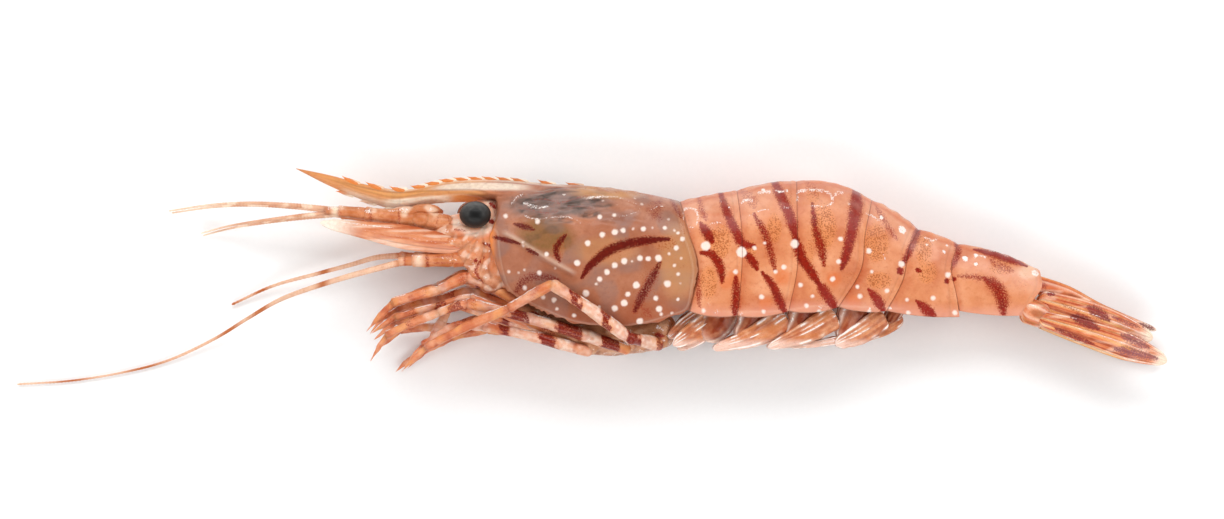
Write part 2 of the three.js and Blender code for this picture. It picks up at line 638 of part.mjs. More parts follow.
// A flat blade of the tail fan. out is its distance from the mid-plane and lean tips its top edge inward.
function fanBlade({ line, out, lean, wide }, side) {
  return sweep({
    path: line.map(([x, y]) => [x, y, midplane(x) + side * out]),
    wide,
    thick: FAN_THICK,
    across: [0, Math.cos(lean), -side * Math.sin(lean)],
    ends: [1.1, 1.8],
    steps: 5,
  });
}

const telson = (grow) =>
  sweep({
    path: TELSON_LINE.map(([x, y]) => [x, y, midplane(x)]),
    wide: grown(TELSON_WIDE, grow),
    thick: grown(TELSON_DEEP, grow),
    ends: [0.6, 1.5],
    steps: 6,
  });

function fanBase(side, grow) {
  const z = midplane(FAN_BASE_REST) + side * FAN_BASE.out;
  return sweep({
    path: FAN_BASE.line.map(([x, y]) => [x, y, z]),
    wide: grown(FAN_BASE.wide, grow),
    thick: grown(FAN_BASE.deep, grow),
    ends: [1.6, 1.2],
    steps: 1,
    sides: 10,
  });
}

// ---- The animal ----
const shell = { color: 0xc07a52, roughness: 0.35 };
const tailShell = { color: 0xe0925f, roughness: 0.3 };
const flesh = { color: 0xd08f66, roughness: 0.4 };
const limbSkin = { color: 0xe0a080, roughness: 0.35 };
const whipSkin = { color: 0xe6ac80, roughness: 0.45 };
const fanSkin = { color: 0xd68358, roughness: 0.35 };
const eyeSkin = { color: 0x14100f, roughness: 0.15 };

const shrimp = new THREE.Group();

function addPiece(name, solid, finish) {
  const mesh = new THREE.Mesh(toGeometry(solid), new THREE.MeshStandardMaterial({ ...finish, metalness: 0 }));
  mesh.name = name;
  shrimp.add(mesh);
}

// The space that each big piece and its clearance take up, which is cut out of its neighbours.
const clearOfHead = head(CLEARANCE);
const clearOfChest = chest(CLEARANCE);
const clearOfTail = union(TAIL_RINGS.map((_, i) => plate(tailRingShape(i, CLEARANCE))));
const clearOfShell = plate(carapaceShape(CLEARANCE)).add(rostrum(CLEARANCE));
const clearOfFace = clearOfHead.add(clearOfShell);
const clearOfTelson = telson(CLEARANCE);

addPiece("carapace", carapace(), shell);
addPiece("head", head(0).subtract(clearOfShell), flesh);
addPiece("chest", chest(0).subtract(clearOfShell), flesh);
TAIL_RINGS.forEach((_, i) => addPiece(`tail_ring_${i + 1}`, plate(tailRingShape(i)), tailShell));
addPiece("telson", telson(0).subtract(clearOfTail), fanSkin);

for (const [side, word] of [[1, "left"], [-1, "right"]]) {
  const feeler = side > 0 ? ANTENNA_LEFT : ANTENNA_RIGHT;
  const clearOfStem = clearOfFace.add(antennaStem(feeler, CLEARANCE));
  addPiece(`eye_${word}`, eye(side > 0 ? EYE_LEFT : EYE_RIGHT, side).subtract(clearOfFace), eyeSkin);
  addPiece(`antennule_${word}`, antennule(side).subtract(clearOfFace), whipSkin);
  addPiece(`antenna_${word}`, antenna(feeler).subtract(clearOfFace), whipSkin);
  addPiece(`antennal_scale_${word}`, antennalScale(side).subtract(clearOfStem), limbSkin);
  SWIMMERETS.forEach((shape, i) => {
    addPiece(`swimmeret_${i + 1}_${word}`, swimmeret(shape, side).subtract(clearOfTail), flesh);
  });
  const clearOfBase = union([fanBase(side, CLEARANCE), clearOfTelson, clearOfTail]);
  addPiece(`fan_base_${word}`, fanBase(side, 0).subtract(clearOfTail), fanSkin);
  addPiece(`fan_outer_${word}`, fanBlade(FAN_OUTER, side).subtract(clearOfBase), fanSkin);
  addPiece(`fan_inner_${word}`, fanBlade(FAN_INNER, side).subtract(clearOfBase), fanSkin);
}

for (const [name, shape] of Object.entries(LIMBS)) {
  addPiece(name, chain(shape).subtract(clearOfChest).subtract(clearOfFace), limbSkin);
}

const outline = new THREE.Box3().setFromObject(shrimp);
const centre = outline.getCenter(new THREE.Vector3());
shrimp.position.set(-centre.x, -centre.y, -outline.min.z);

export default shrimp;
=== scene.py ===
# %% [markdown]
# # A whole raw coonstripe shrimp
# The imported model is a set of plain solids, one for each hard part of the animal. This lesson dresses each
# of them in a fine skin: smooth wet shell with stripes, dots and tiny pigment specks, banded legs, a ribbed
# tail fan and black eyes. The animal lies on its right side. +X runs from head to tail, +Y from belly to
# back, and +Z up, out of its left side.

# %% Load the fixed frame
import math

import bpy
import numpy as np
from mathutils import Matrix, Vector


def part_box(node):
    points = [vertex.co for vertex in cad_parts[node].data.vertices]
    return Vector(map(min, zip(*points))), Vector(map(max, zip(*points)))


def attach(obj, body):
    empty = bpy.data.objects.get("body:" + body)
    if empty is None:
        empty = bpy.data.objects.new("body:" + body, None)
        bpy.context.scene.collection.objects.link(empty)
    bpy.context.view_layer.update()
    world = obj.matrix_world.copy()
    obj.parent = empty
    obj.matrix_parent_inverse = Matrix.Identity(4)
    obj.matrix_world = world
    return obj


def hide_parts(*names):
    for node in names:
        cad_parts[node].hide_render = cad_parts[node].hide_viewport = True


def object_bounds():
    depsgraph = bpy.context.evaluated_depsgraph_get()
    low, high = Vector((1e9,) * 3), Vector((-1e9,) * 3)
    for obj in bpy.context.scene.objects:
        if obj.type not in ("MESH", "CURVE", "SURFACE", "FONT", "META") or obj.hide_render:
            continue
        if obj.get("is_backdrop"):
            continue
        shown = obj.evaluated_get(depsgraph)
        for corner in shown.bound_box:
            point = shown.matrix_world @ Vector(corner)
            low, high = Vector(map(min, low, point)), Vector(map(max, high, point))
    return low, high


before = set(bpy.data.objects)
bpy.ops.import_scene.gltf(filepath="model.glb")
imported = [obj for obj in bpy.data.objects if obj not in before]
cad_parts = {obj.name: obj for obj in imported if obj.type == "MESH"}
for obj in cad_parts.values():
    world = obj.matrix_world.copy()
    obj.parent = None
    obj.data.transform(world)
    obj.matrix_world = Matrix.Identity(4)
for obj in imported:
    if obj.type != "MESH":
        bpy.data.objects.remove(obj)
CAD_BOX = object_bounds()
print("solids in the frame:", len(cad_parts))

# %% [markdown]
# ## Sizes
# Every number below is a real size in millimetres, in the animal's own side view: x along the body, y up
# its back, z out of its left flank. The model was centred on its outline, so one small shift and a change
# to metres bring a point into the scene. The left eye tells whether the shift is right.

# %% Millimetres to the scene
MM = 0.001
ROW_SHIFT = np.array([0.4, 0.187, 0.0])
EYES = {"left": np.array([-19.5, 10.3, 14.0]), "right": np.array([-20.1, 10.45, 3.3])}
EYE_RADII = np.array([2.65, 2.25, 2.4])
SIDES = ((1, "left"), (-1, "right"))


def in_scene(points):
    """Millimetres in the side view as metres in the scene."""
    return (np.asarray(points, float) + ROW_SHIFT) * MM


eye_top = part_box("eye_left")[1].z / MM
print("left eye's top, mm:", round(eye_top, 2), "by the sizes:", EYES["left"][2] + EYE_RADII[2])

# %% [markdown]
# ## Curves
# A shrimp has no straight lines. Two kinds of curve describe it: one through knots of a place and a value,
# for sizes that change along the body, and one through points in space, for edges, limbs and feelers.


# %% Curve helpers
def along(knots, x):
    """The value at x on a smooth line through (place, value) knots."""
    place, value = np.array(knots, float).T
    slope = np.gradient(value, place)
    slope[1:-1] = (value[2:] - value[:-2]) / (place[2:] - place[:-2])
    i = np.clip(np.searchsorted(place, x, "right") - 1, 0, len(place) - 2)
    run = place[i + 1] - place[i]
    s = np.clip((x - place[i]) / run, 0, 1)
    start = value[i] * (1 + 2 * s) * (1 - s) ** 2 + slope[i] * run * s * (1 - s) ** 2
    end = value[i + 1] * s * s * (3 - 2 * s) + slope[i + 1] * run * s * s * (s - 1)
    return start + end


def values_at(values, s):
    """The value at share s of evenly spaced values."""
    return along(np.stack([np.linspace(0, 1, len(values)), values], 1), s)


def spline(points, t):
    """Points at shares t of a smooth line through the given points."""
    p = np.array(points, float)
    p = np.vstack([2 * p[0] - p[1], p, 2 * p[-1] - p[-2]])
    spans = len(points) - 1
    at = np.clip(np.asarray(t, float) * spans, 0, spans - 1e-9)
    i = at.astype(int)
    w = (at - i)[..., None]
    a, b, c, d = p[i], p[i + 1], p[i + 2], p[i + 3]
    return b + 0.5 * w * (c - a + w * (2 * a - 5 * b + 4 * c - d + w * (3 * (b - c) + d - a)))


def smooth(low, high, value):
    """0 below low, 1 above high, and a soft step between."""
    s = np.clip((np.asarray(value, float) - low) / (high - low), 0, 1)
    return s * s * (3 - 2 * s)


def fade(low, high, value):
    """1 below low, 0 above high, and a soft step between."""
    return 1 - smooth(low, high, value)


def hump(value, middle, half):
    """1 at the middle, fading to nothing about two halves away."""
    return np.exp(-(((np.asarray(value, float) - middle) / half) ** 2))


def waves(points, size, seed):
    """Smooth noise from -1 to 1 at a size in mm: a sum of crossed sine waves in seeded directions."""
    chance = np.random.default_rng(seed)
    total = np.zeros(len(points))
    for _ in range(9):
        direction = chance.normal(size=3)
        pitch = size * chance.uniform(0.7, 1.5)
        turn = points @ (direction / np.linalg.norm(direction)) * (2 * math.pi / pitch)
        total += np.sin(turn + chance.uniform(0, 2 * math.pi))
    return total / 3.2


BODY_REST, TAIL_REST, DROOP_X, DROOP_RUN = 8.6, 5.5, 56, 10


def midplane(x):
    """Height of the animal's middle over the table: the tail droops to it."""
    return TAIL_REST + (BODY_REST - TAIL_REST) / (1 + np.exp((x - DROOP_X) / DROOP_RUN))


def laid(points, gap=0.0):
    """Lays the points on the table: none is left lower than gap, in mm."""
    points[..., 2] = np.maximum(points[..., 2], gap)


print("middle of the body, mm over the table:", midplane(np.array([0, 40, 80])).round(2))

# %% [markdown]
# ## Turning points into pieces
# A skin is a grid of points. Here the points of each part are worked out with numpy and handed to Blender as
# one mesh, which is quick and exact. Parts of one piece may be several closed skins that pass into each
# other, as the joints of a real limb do. Each point also carries numbers, such as how much pigment sits
# there, and the materials read them.


# %% Mesh helpers
def facing_out(points, faces):
    """Turns the faces round if the closed skin is inside out."""
    total = 0.0
    for size in {len(face) for face in faces}:
        corners = points[np.array([face for face in faces if len(face) == size])]
        for i in range(1, size - 1):
            total += np.einsum("ij,ij->", corners[:, 0], np.cross(corners[:, i], corners[:, i + 1]))
    return faces if total > 0 else [face[::-1] for face in faces]


def skin(rings, start=None, end=None):
    """Closes a stack of rings, shape (count, size, 3), into points and faces."""
    count, size, _ = rings.shape
    a = (np.arange(count - 1)[:, None] * size + np.arange(size)).ravel()
    b = (np.arange(count - 1)[:, None] * size + (np.arange(size) + 1) % size).ravel()
    faces = np.stack([a, b, b + size, a + size], 1).tolist()
    points = rings.reshape(-1, 3)
    last = (count - 1) * size
    if start is None:
        faces.append(list(range(size))[::-1])
    else:
        points = np.vstack([points, [start]])
        faces += [[(k + 1) % size, k, len(points) - 1] for k in range(size)]
    if end is None:
        faces.append(list(range(last, last + size)))
    else:
        points = np.vstack([points, [end]])
        faces += [[last + k, last + (k + 1) % size, len(points) - 1] for k in range(size)]
    return points, facing_out(points, faces)


def joined(skins):
    """Several skins as one set of points and faces."""
    points, faces, offset = [], [], 0
    for some, their in skins:
        points.append(some)
        faces += [[i + offset for i in face] for face in their]
        offset += len(some)
    return np.vstack(points), faces


def as_mesh(name, points, faces):
    """A Blender mesh of the points and faces."""
    mesh = bpy.data.meshes.new(name)
    mesh.from_pydata(np.asarray(points).tolist(), [], faces)
    mesh.update()
    return mesh


def normals_of(points, faces):
    """The skin's outward direction at each point."""
    mesh = as_mesh("scratch", points, faces)
    normals = np.zeros(len(points) * 3, np.float32)
    mesh.vertex_normals.foreach_get("vector", normals)
    bpy.data.meshes.remove(mesh)
    return normals.reshape(-1, 3).astype(float)


def pushed(points, faces, push):
    """The points moved out along the skin's normals by push, in mm."""
    return points + normals_of(points, faces) * np.asarray(push)[:, None]


def fused(skins, voxel, rounds):
    """Melts overlapping skins into one, then relaxes it so that the joins become soft fillets."""
    mesh = as_mesh("melt", *joined(skins))
    scratch = bpy.data.objects.new("melt", mesh)
    bpy.context.scene.collection.objects.link(scratch)
    melt = scratch.modifiers.new("melt", "REMESH")
    melt.mode = "VOXEL"
    melt.voxel_size = voxel
    relax = scratch.modifiers.new("relax", "SMOOTH")
    relax.factor = 0.5
    relax.iterations = rounds
    made = bpy.data.meshes.new_from_object(scratch.evaluated_get(bpy.context.evaluated_depsgraph_get()))
    points = np.zeros(len(made.vertices) * 3, np.float32)
    made.vertices.foreach_get("co", points)
    faces = [list(face.vertices) for face in made.polygons]
    bpy.data.objects.remove(scratch)
    bpy.data.meshes.remove(mesh)
    bpy.data.meshes.remove(made)
    return points.reshape(-1, 3).astype(float), faces


def make_piece(node, slot, material, points, faces, **numbers):
    """One shown piece: it rides on the body, stands for its solid and carries its numbers."""
    mesh = as_mesh(f"{node}_skin", in_scene(points), faces)
    mesh.polygons.foreach_set("use_smooth", [True] * len(mesh.polygons))
    mesh.materials.append(material)
    for key, values in numbers.items():
        layer = mesh.attributes.new(key, "FLOAT", "POINT")
        layer.data.foreach_set("value", np.broadcast_to(values, len(points)).astype(np.float32))
    piece = bpy.data.objects.new(f"{node}_skin", mesh)
    bpy.context.scene.collection.objects.link(piece)
    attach(piece, "root")
    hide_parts(node)
    print(f"{piece.name}: {len(points)} points")


# %% [markdown]
# ## A swept part
# Legs, feelers, stalks and fan blades are all one idea: an ellipse of changing size carried along a smooth
# path, with rounded or pointed ends. A curve object with a bevel could do the round ones, but it can't
# flatten, taper and carry ribs at once, so the rings are worked out here.

# %% Sweep
END_RINGS = np.linspace(0, math.pi / 2, 7)[1:]
POINT_POWER = 0.8


def sweep(path, wide, thick=None, across=(0, 0, 1), ends=(1, 1), sides=20, step=0.3, relief=None, point=0.3):
    """Rings round a path. wide is measured along across. An end of 0 comes to a point over a share of the
    length. relief(broad, share) is added to the thickness, in mm, where broad runs from -1 to 1 across the
    part. Returns the skin, and each point's share of the length and place across."""
    thick = wide if thick is None else thick
    dense = np.linspace(0, 1, 400)
    line = spline(path, dense)
    run = np.r_[0, np.cumsum(np.linalg.norm(np.diff(line, axis=0), axis=1))]
    length = run[-1]
    first, last = ends
    tip = last if last else point * length
    stations = list(first * (1 - np.cos(END_RINGS)))[:-1]
    size = list(np.sin(END_RINGS))[:-1]
    middle = np.linspace(first, length - tip, max(3, int((length - first - tip) / step)))
    stations += list(middle)
    size += [1.0] * len(middle)
    if last:
        stations += list(length - last * (1 - np.cos(END_RINGS)))[::-1][1:]
        size += list(np.sin(END_RINGS))[::-1][1:]
    else:
        taper = np.linspace(0, 1, max(6, int(tip / step)))[1:-1]
        stations += list(length - tip + tip * taper)
        size += list((1 - taper) ** POINT_POWER)
    t = np.interp(stations, run, dense)
    size = np.array(size)[:, None, None]
    centre = spline(path, t)
    ahead = spline(path, np.clip(t + 1e-3, 0, 1)) - spline(path, np.clip(t - 1e-3, 0, 1))
    ahead /= np.linalg.norm(ahead, axis=1)[:, None]
    thin = np.cross(np.array(across, float), ahead)
    thin /= np.linalg.norm(thin, axis=1)[:, None]
    broad = np.cross(ahead, thin)
    angle = np.linspace(0, 2 * math.pi, sides, endpoint=False)
    deep = values_at(thick, t)[:, None]
    if relief is not None:
        deep = deep + relief(np.cos(angle)[None], t[:, None])
    half = values_at(wide, t)[:, None, None]
    rings = centre[:, None] + broad[:, None] * np.cos(angle)[None, :, None] * half * size
    rings += thin[:, None] * (np.sin(angle)[None] * deep)[..., None] * size
    return (
        skin(rings, path[0], path[-1]),
        np.r_[np.repeat(t, sides), 0, 1],
        np.r_[np.tile(np.cos(angle), len(t)), 0, 0],
    )


# %% [markdown]
# ## A plate of shell
# The carapace and the six tail rings are built alike: a thin arched plate that runs from the ridge of the
# back down both flanks to a lower margin, with side flaps round a hollow belly. Two edge curves, front and
# rear, give its side view, and its half-width fills it out.

# %% Plate
FLAP_WALL = 1.1
FLAP_REACH = 1 / 6
WIDEST_LEVEL, BACK_POWER, FLANK_DRAW = 0.5, 0.85, 0.14


def arch(rounds, flank):
    """Height share and width share of the points down one side of an arched section."""
    quarter = np.linspace(0, math.pi / 2, rounds + 1)[1:]
    lower = np.linspace(0, 1, flank + 1)[1:]
    height = np.r_[WIDEST_LEVEL * (1 - np.cos(quarter)), WIDEST_LEVEL + (1 - WIDEST_LEVEL) * lower]
    width = np.r_[np.sin(quarter) ** BACK_POWER, 1 - FLANK_DRAW * lower**2]
    return height, width


def cross_section(rounds=46, flank=44, lip=10, belly=14, lip_wall=0.3):
    """Height share, width share, inset and side of the points round a plate, from the ridge down the left."""
    outer_height, outer_width = arch(rounds, flank)
    deep = np.linspace(0, 1, lip + 1)[1:]
    inner_height = 1 - FLAP_REACH * deep
    inner_width = 1 - FLANK_DRAW * (2 * inner_height - 1) ** 2
    height = np.r_[outer_height, inner_height]
    width = np.r_[outer_width, inner_width]
    inward = np.r_[np.zeros(len(outer_height)), lip_wall * np.sqrt(deep) + (FLAP_WALL - lip_wall) * deep]
    bridge = np.linspace(1, -1, belly + 2)[1:-1]
    ones = np.ones(len(height))
    return (
        np.r_[0, height, np.full(belly, height[-1]), height[::-1]],
        np.r_[0, width, np.full(belly, width[-1]), width[::-1]],
        np.r_[0, inward, np.full(belly, inward[-1]), inward[::-1]],
        np.r_[0, ones, bridge, -ones],
    )


def plate(shape, u, inset, cut):
    """Rings of a plate at shares u from front to rear, each drawn in by inset towards its middle."""
    height, width, inward, side = cut
    front, rear = spline(shape["front"], height), spline(shape["rear"], height)
    share = u[:, None]
    held = np.clip(share, 0, 1)
    bulge = 4 * held * (1 - held) * (shape["back"] * (1 - height) ** 2 - shape["belly"] * height**2)
    x = front[:, 0] + (rear[:, 0] - front[:, 0]) * share
    y = front[:, 1] + (rear[:, 1] - front[:, 1]) * share + bulge
    z = midplane(x) + side * (values_at(shape["half_width"], held) * width - inward)
    points = np.stack([x, y, z], -1)
    half_front, half_rear = spline(shape["front"], 0.5), spline(shape["rear"], 0.5)
    middle = half_front + (half_rear - half_front) * share
    heart = np.stack([middle[:, 0], middle[:, 1], midplane(middle[:, 0])], -1)[:, None]
    away = points - heart
    away[..., 0] = 0
    distance = np.linalg.norm(away, axis=-1, keepdims=True)
    points -= away / np.maximum(distance, 1e-6) * np.minimum(inset[:, None, None], distance)
    laid(points)
    return points


def rounded(from_edge, radius):
    """How far a skin draws in near an edge so that the edge is round."""
    q = np.clip(1 - from_edge / radius, 0, 1)
    return radius * (1 - np.sqrt(1 - q * q))


# %% [markdown]
# ## Where the markings are
# The skin's markings are read off the animal's side view: rows of white dots, dark red stripes that lean
# forward down each flank, and patches where the pigment is only a stipple. The two flanks match, so each
# mark is given once. A dot is round on the skin, so its distance is measured in space; a stripe wraps over
# the back, so its distance is measured in the side view.

# %% White dots: x, y, radius
CARAPACE_DOTS = [
    (-0.6, 5.5, 0.55), (1.8, 6.9, 0.55), (3.9, 7.4, 0.6), (5.3, 7.7, 0.5), (7.0, 7.9, 0.3), (8.7, 7.9, 0.5),
    (10.2, 8.1, 0.25), (12.3, 8.1, 0.45), (13.9, 7.7, 0.3), (14.5, 7.2, 0.35), (15.2, 6.2, 0.5),
    (14.2, 4.7, 0.5), (1.4, -0.5, 0.5), (2.6, 0.7, 0.55), (3.9, 1.8, 0.55), (5.5, 2.5, 0.6), (6.8, 2.5, 0.25),
    (8.1, 3.0, 0.55), (9.5, 2.9, 0.5), (11.2, 3.0, 0.65), (13.0, 3.7, 0.3), (15.0, 3.0, 0.25),
    (13.9, 1.8, 0.35), (14.5, 0.3, 0.4), (14.9, -1.2, 0.25), (14.5, -3.9, 0.35), (-2.4, 2.2, 0.6),
    (-0.9, -2.9, 0.65), (0.8, -1.3, 0.3), (1.3, -5.2, 0.3), (7.5, -1.5, 0.65), (6.1, -3.0, 0.5),
    (5.5, -4.5, 0.65), (3.9, -5.4, 0.6), (8.1, -7.6, 0.65), (12.7, -1.3, 0.65), (10.8, -3.7, 0.5),
    (11.3, -5.5, 0.6), (11.7, -6.4, 0.35), (13.5, -6.2, 0.3), (7.3, 13.3, 0.4), (1.9, 12.8, 0.35),
    (4.3, 12.1, 0.3), (8.5, 12.3, 0.45), (3.8, 10.2, 0.4), (1.4, 9.9, 0.45), (12.9, 9.6, 0.3),
    (-14.4, 10.1, 0.5), (-9.0, 9.1, 0.5), (-11.5, 5.7, 0.3), (-11.5, 5.0, 0.4), (-7.5, 3.7, 0.45),
    (-6.1, 1.3, 0.3), (-13.9, 0.7, 0.35), (-12.2, 0.5, 0.3), (-11.2, 1.0, 0.3), (-8.7, 0.5, 0.5),
    (-11.2, -2.0, 0.5), (-8.1, -3.5, 0.5), (-6.3, -4.0, 0.5), (-5.8, -5.5, 0.35), (-2.9, -6.6, 0.4),
]
TAIL_DOTS = [
    (19.1, 5.0, 0.85), (25.1, 4.0, 0.95), (34.0, 5.4, 0.8), (52.0, 2.0, 0.6), (59.9, 0.2, 0.55),
    (24.1, 0.7, 0.5), (27.3, 4.7, 0.45), (28.5, -3.5, 0.5), (29.0, 5.5, 0.35), (30.8, 0.7, 0.4),
    (32.2, 1.5, 0.5), (28.8, -6.0, 0.45), (35.0, -1.5, 0.45), (36.0, -5.0, 0.45), (37.0, -3.4, 0.4),
    (38.2, -6.0, 0.45), (40.4, -0.5, 0.5), (41.4, 2.4, 0.5), (41.7, 6.2, 0.5), (44.6, -1.8, 0.4),
    (45.0, -3.4, 0.5), (46.5, 4.2, 0.55), (47.0, 0.7, 0.35), (46.6, -6.0, 0.45), (48.8, 9.9, 0.35),
    (49.6, -2.5, 0.5), (50.1, -5.4, 0.35), (53.0, -4.0, 0.4), (53.2, -6.2, 0.45), (57.4, -3.7, 0.5),
    (62.9, 3.0, 0.5), (61.1, -6.2, 0.5), (18.8, -5.8, 0.45),
]

# %% Stripes: the line down the flank, its half-widths, its strength, and how purple it is
CARAPACE_STRIPES = [
    ([(-1.6, -0.3), (-0.6, 1.3), (1.4, 3.2), (3.4, 4.5), (6.5, 5.5), (9.8, 6.0), (12.9, 6.2)],
     (0.35, 0.75, 0.45), 0.95, 0),
    ([(-4.3, 6.9), (-5.9, 4.6), (-5.3, 2.4)], (0.3, 0.5, 0.3), 0.8, 0),
    ([(11.4, 2.2), (9.9, -0.7), (8.5, -3.2), (7.3, -5.8)], (0.6, 0.75, 0.8), 0.72, 0.1),
    ([(-12.6, -2.6), (-11.2, -0.7), (-8.7, 0.0), (-5.5, -0.6)], (0.8, 0.8, 0.5), 0.6, 0.45),
    ([(-17.6, 6.8), (-14.5, 6.1), (-12.0, 5.4)], (0.15, 0.3, 0.15), 0.9, 0),
    ([(-10.8, 4.5), (-9.0, 3.6)], (0.3, 0.3), 0.8, 0),
    ([(-12.9, 8.7), (-11.3, 8.3), (-9.6, 7.8)], (0.3, 0.5, 0.3), 0.75, 0),
    ([(8.9, -5.6), (9.8, -6.6)], (1.0, 1.0), 0.45, 0.3),
    ([(11.6, 12.9), (10.6, 11.0), (11.4, 9.6)], (0.8, 1.4, 0.9), 0.5, 0.9),
    ([(13.2, 13.2), (14.3, 11.2), (15.0, 9.8)], (0.4, 0.4, 0.3), 0.6, 0.7),
    ([(0.5, 14.7), (6.0, 14.2), (11.0, 13.3)], (0.5, 0.4, 0.2), 0.45, 0.2),
    ([(-8.2, -8.2), (-5.7, -7.4)], (0.4, 0.4), 0.6, 0),
]
TAIL_STRIPES = [
    ([(18.0, 13.2), (18.5, 11.0), (19.2, 9.6)], (0.5, 0.5, 0.6), 0.6, 0.9),
    ([(18.3, 8.8), (19.2, 7.4), (20.2, 5.8)], (0.45, 0.75, 0.7), 0.95, 0),
    ([(18.4, 3.9), (20.2, 3.6), (21.5, 1.6), (21.9, -0.9)], (0.5, 0.7, 0.55), 0.9, 0),
    ([(17.8, 0.6), (17.9, -2.0), (18.1, -5.0)], (0.25, 0.5, 0.45), 0.62, 0),
    ([(21.6, 14.2), (22.8, 10.4), (24.2, 7.4), (25.2, 5.5), (27.2, 5.0)], (0.6, 0.7, 0.75, 0.6), 0.9, 0.3),
    ([(25.8, 3.8), (26.9, 2.6), (27.7, 1.2)], (0.6, 0.65, 0.5), 0.92, 0),
    ([(24.2, -0.2), (24.2, -3.2), (24.0, -6.4)], (0.5, 0.65, 0.7), 0.85, 0),
    ([(25.4, 14.2), (26.8, 12.8), (27.3, 11.6)], (1.0, 1.1, 0.8), 0.5, 0.9),
    ([(27.2, 10.4), (29.1, 6.9), (30.1, 3.5), (30.7, 1.0)], (0.5, 0.7, 0.6, 0.5), 0.72, 0),
    ([(28.6, 0.6), (30.4, -1.7), (31.4, -4.0), (32.5, -6.2)], (0.45, 0.6, 0.7, 0.6), 0.9, 0.1),
    ([(30.6, 16.2), (32.0, 12.8), (33.3, 9.8), (34.0, 6.9)], (0.8, 0.8, 0.8, 0.9), 0.92, 0.35),
    ([(34.0, 6.9), (35.1, 3.2), (36.6, 1.0), (38.0, -1.2)], (0.8, 0.8, 0.7, 0.75), 0.94, 0.0),
    ([(38.0, -1.2), (39.4, -3.2), (40.9, -5.4)], (0.7, 0.8, 0.75), 0.94, 0.4),
    ([(37.0, 12.2), (37.5, 7.9), (38.5, 4.6), (38.9, 1.8)], (0.35, 0.6, 0.8, 0.5), 0.78, 0),
    ([(36.4, 15.6), (37.6, 13.6)], (1.1, 0.8), 0.45, 0.9),
    ([(44.6, 14.6), (44.3, 11.1), (43.5, 7.0), (42.6, 3.4), (41.9, 1.2)], (1.2, 1.05, 0.85, 0.7, 0.5), 0.94,
     0.15),
    ([(47.8, 11.6), (49.3, 9.0), (51.2, 6.2)], (0.4, 0.55, 0.5), 0.58, 0.2),
    ([(55.2, 8.3), (54.2, 6.0), (53.2, 3.8), (52.2, 1.9)], (0.6, 0.55, 0.5), 0.85, 0.15),
    ([(51.6, 1.1), (52.0, 0.5)], (0.6, 0.5), 1.0, 0),
    ([(46.4, -2.2), (47.8, -3.8), (48.9, -5.6)], (0.3, 0.75, 0.8), 0.9, 0.5),
    ([(54.6, 1.1), (55.2, 0.8)], (0.35, 0.35), 0.9, 0),
    ([(57.5, 8.2), (60.5, 6.6)], (0.5, 0.4), 0.35, 0.2),
    ([(61.3, 5.6), (61.7, 3.8), (60.5, 1.2)], (0.5, 0.5, 0.4), 0.7, 0.2),
    ([(59.6, -0.7), (59.8, -1.0)], (0.45, 0.4), 1.0, 0),
    ([(60.9, -0.4), (61.0, -0.6)], (0.35, 0.35), 1.0, 0),
    ([(54.6, -4.2), (56.1, -5.5), (57.5, -6.6)], (0.3, 0.8, 0.8), 0.9, 0.5),
    ([(64.4, 4.5), (67.4, 3.75), (70.4, 2.75), (73.4, 1.7)], (0.15, 0.5, 0.5, 0.2), 0.92, 0.15),
    ([(61.5, 0.0), (64.0, -0.1), (66.0, -0.5)], (0.25, 0.45, 0.55), 0.62, 0),
    ([(65.8, -0.3), (67.9, -1.7), (69.0, -3.6), (69.3, -6.2)], (0.6, 1.1, 1.1, 1.0), 0.78, 0.15),
    ([(67.2, 2.6), (69.4, 1.4), (71.0, 0.8)], (0.5, 0.9, 0.4), 0.55, 0.1),
]

# %% Stippled patches: centre, half-sizes, strength
STIPPLE = [
    (21.6, 5.9, 2.1, 3.4, 1.0), (19.6, -1.0, 1.8, 3.4, 0.85), (30.6, 8.0, 1.5, 3.0, 0.9),
    (26.9, 4.6, 0.9, 1.9, 0.7), (38.9, 8.2, 2.5, 4.6, 1.0), (37.2, 13.6, 1.5, 1.8, 0.7),
    (36.4, 4.0, 1.2, 3.0, 0.6), (47.7, 5.6, 2.5, 3.8, 1.0), (48.2, -0.7, 2.6, 1.7, 0.95),
    (43.4, -0.3, 1.8, 1.5, 0.5), (55.8, 4.5, 1.8, 3.1, 0.95), (56.4, 0.6, 2.0, 2.4, 0.85),
    (69.0, 1.5, 2.6, 1.5, 0.9), (72.5, -1.0, 1.6, 2.2, 0.4), (-5.2, 4.5, 1.0, 2.4, 0.6),
    (12.2, 5.6, 2.6, 1.6, 0.8), (5.0, 3.6, 5.0, 1.5, 0.45), (33.0, 12.0, 1.5, 3.2, 0.5),
    (9.6, -1.4, 2.4, 5.0, 0.5), (15.6, 8.8, 1.4, 2.4, 0.6), (25.4, -3.0, 1.6, 3.6, 0.4),
    (31.0, -3.4, 1.8, 3.2, 0.4), (38.6, -3.2, 2.4, 3.0, 0.4), (4.0, -3.5, 6.0, 3.5, 0.3),
]

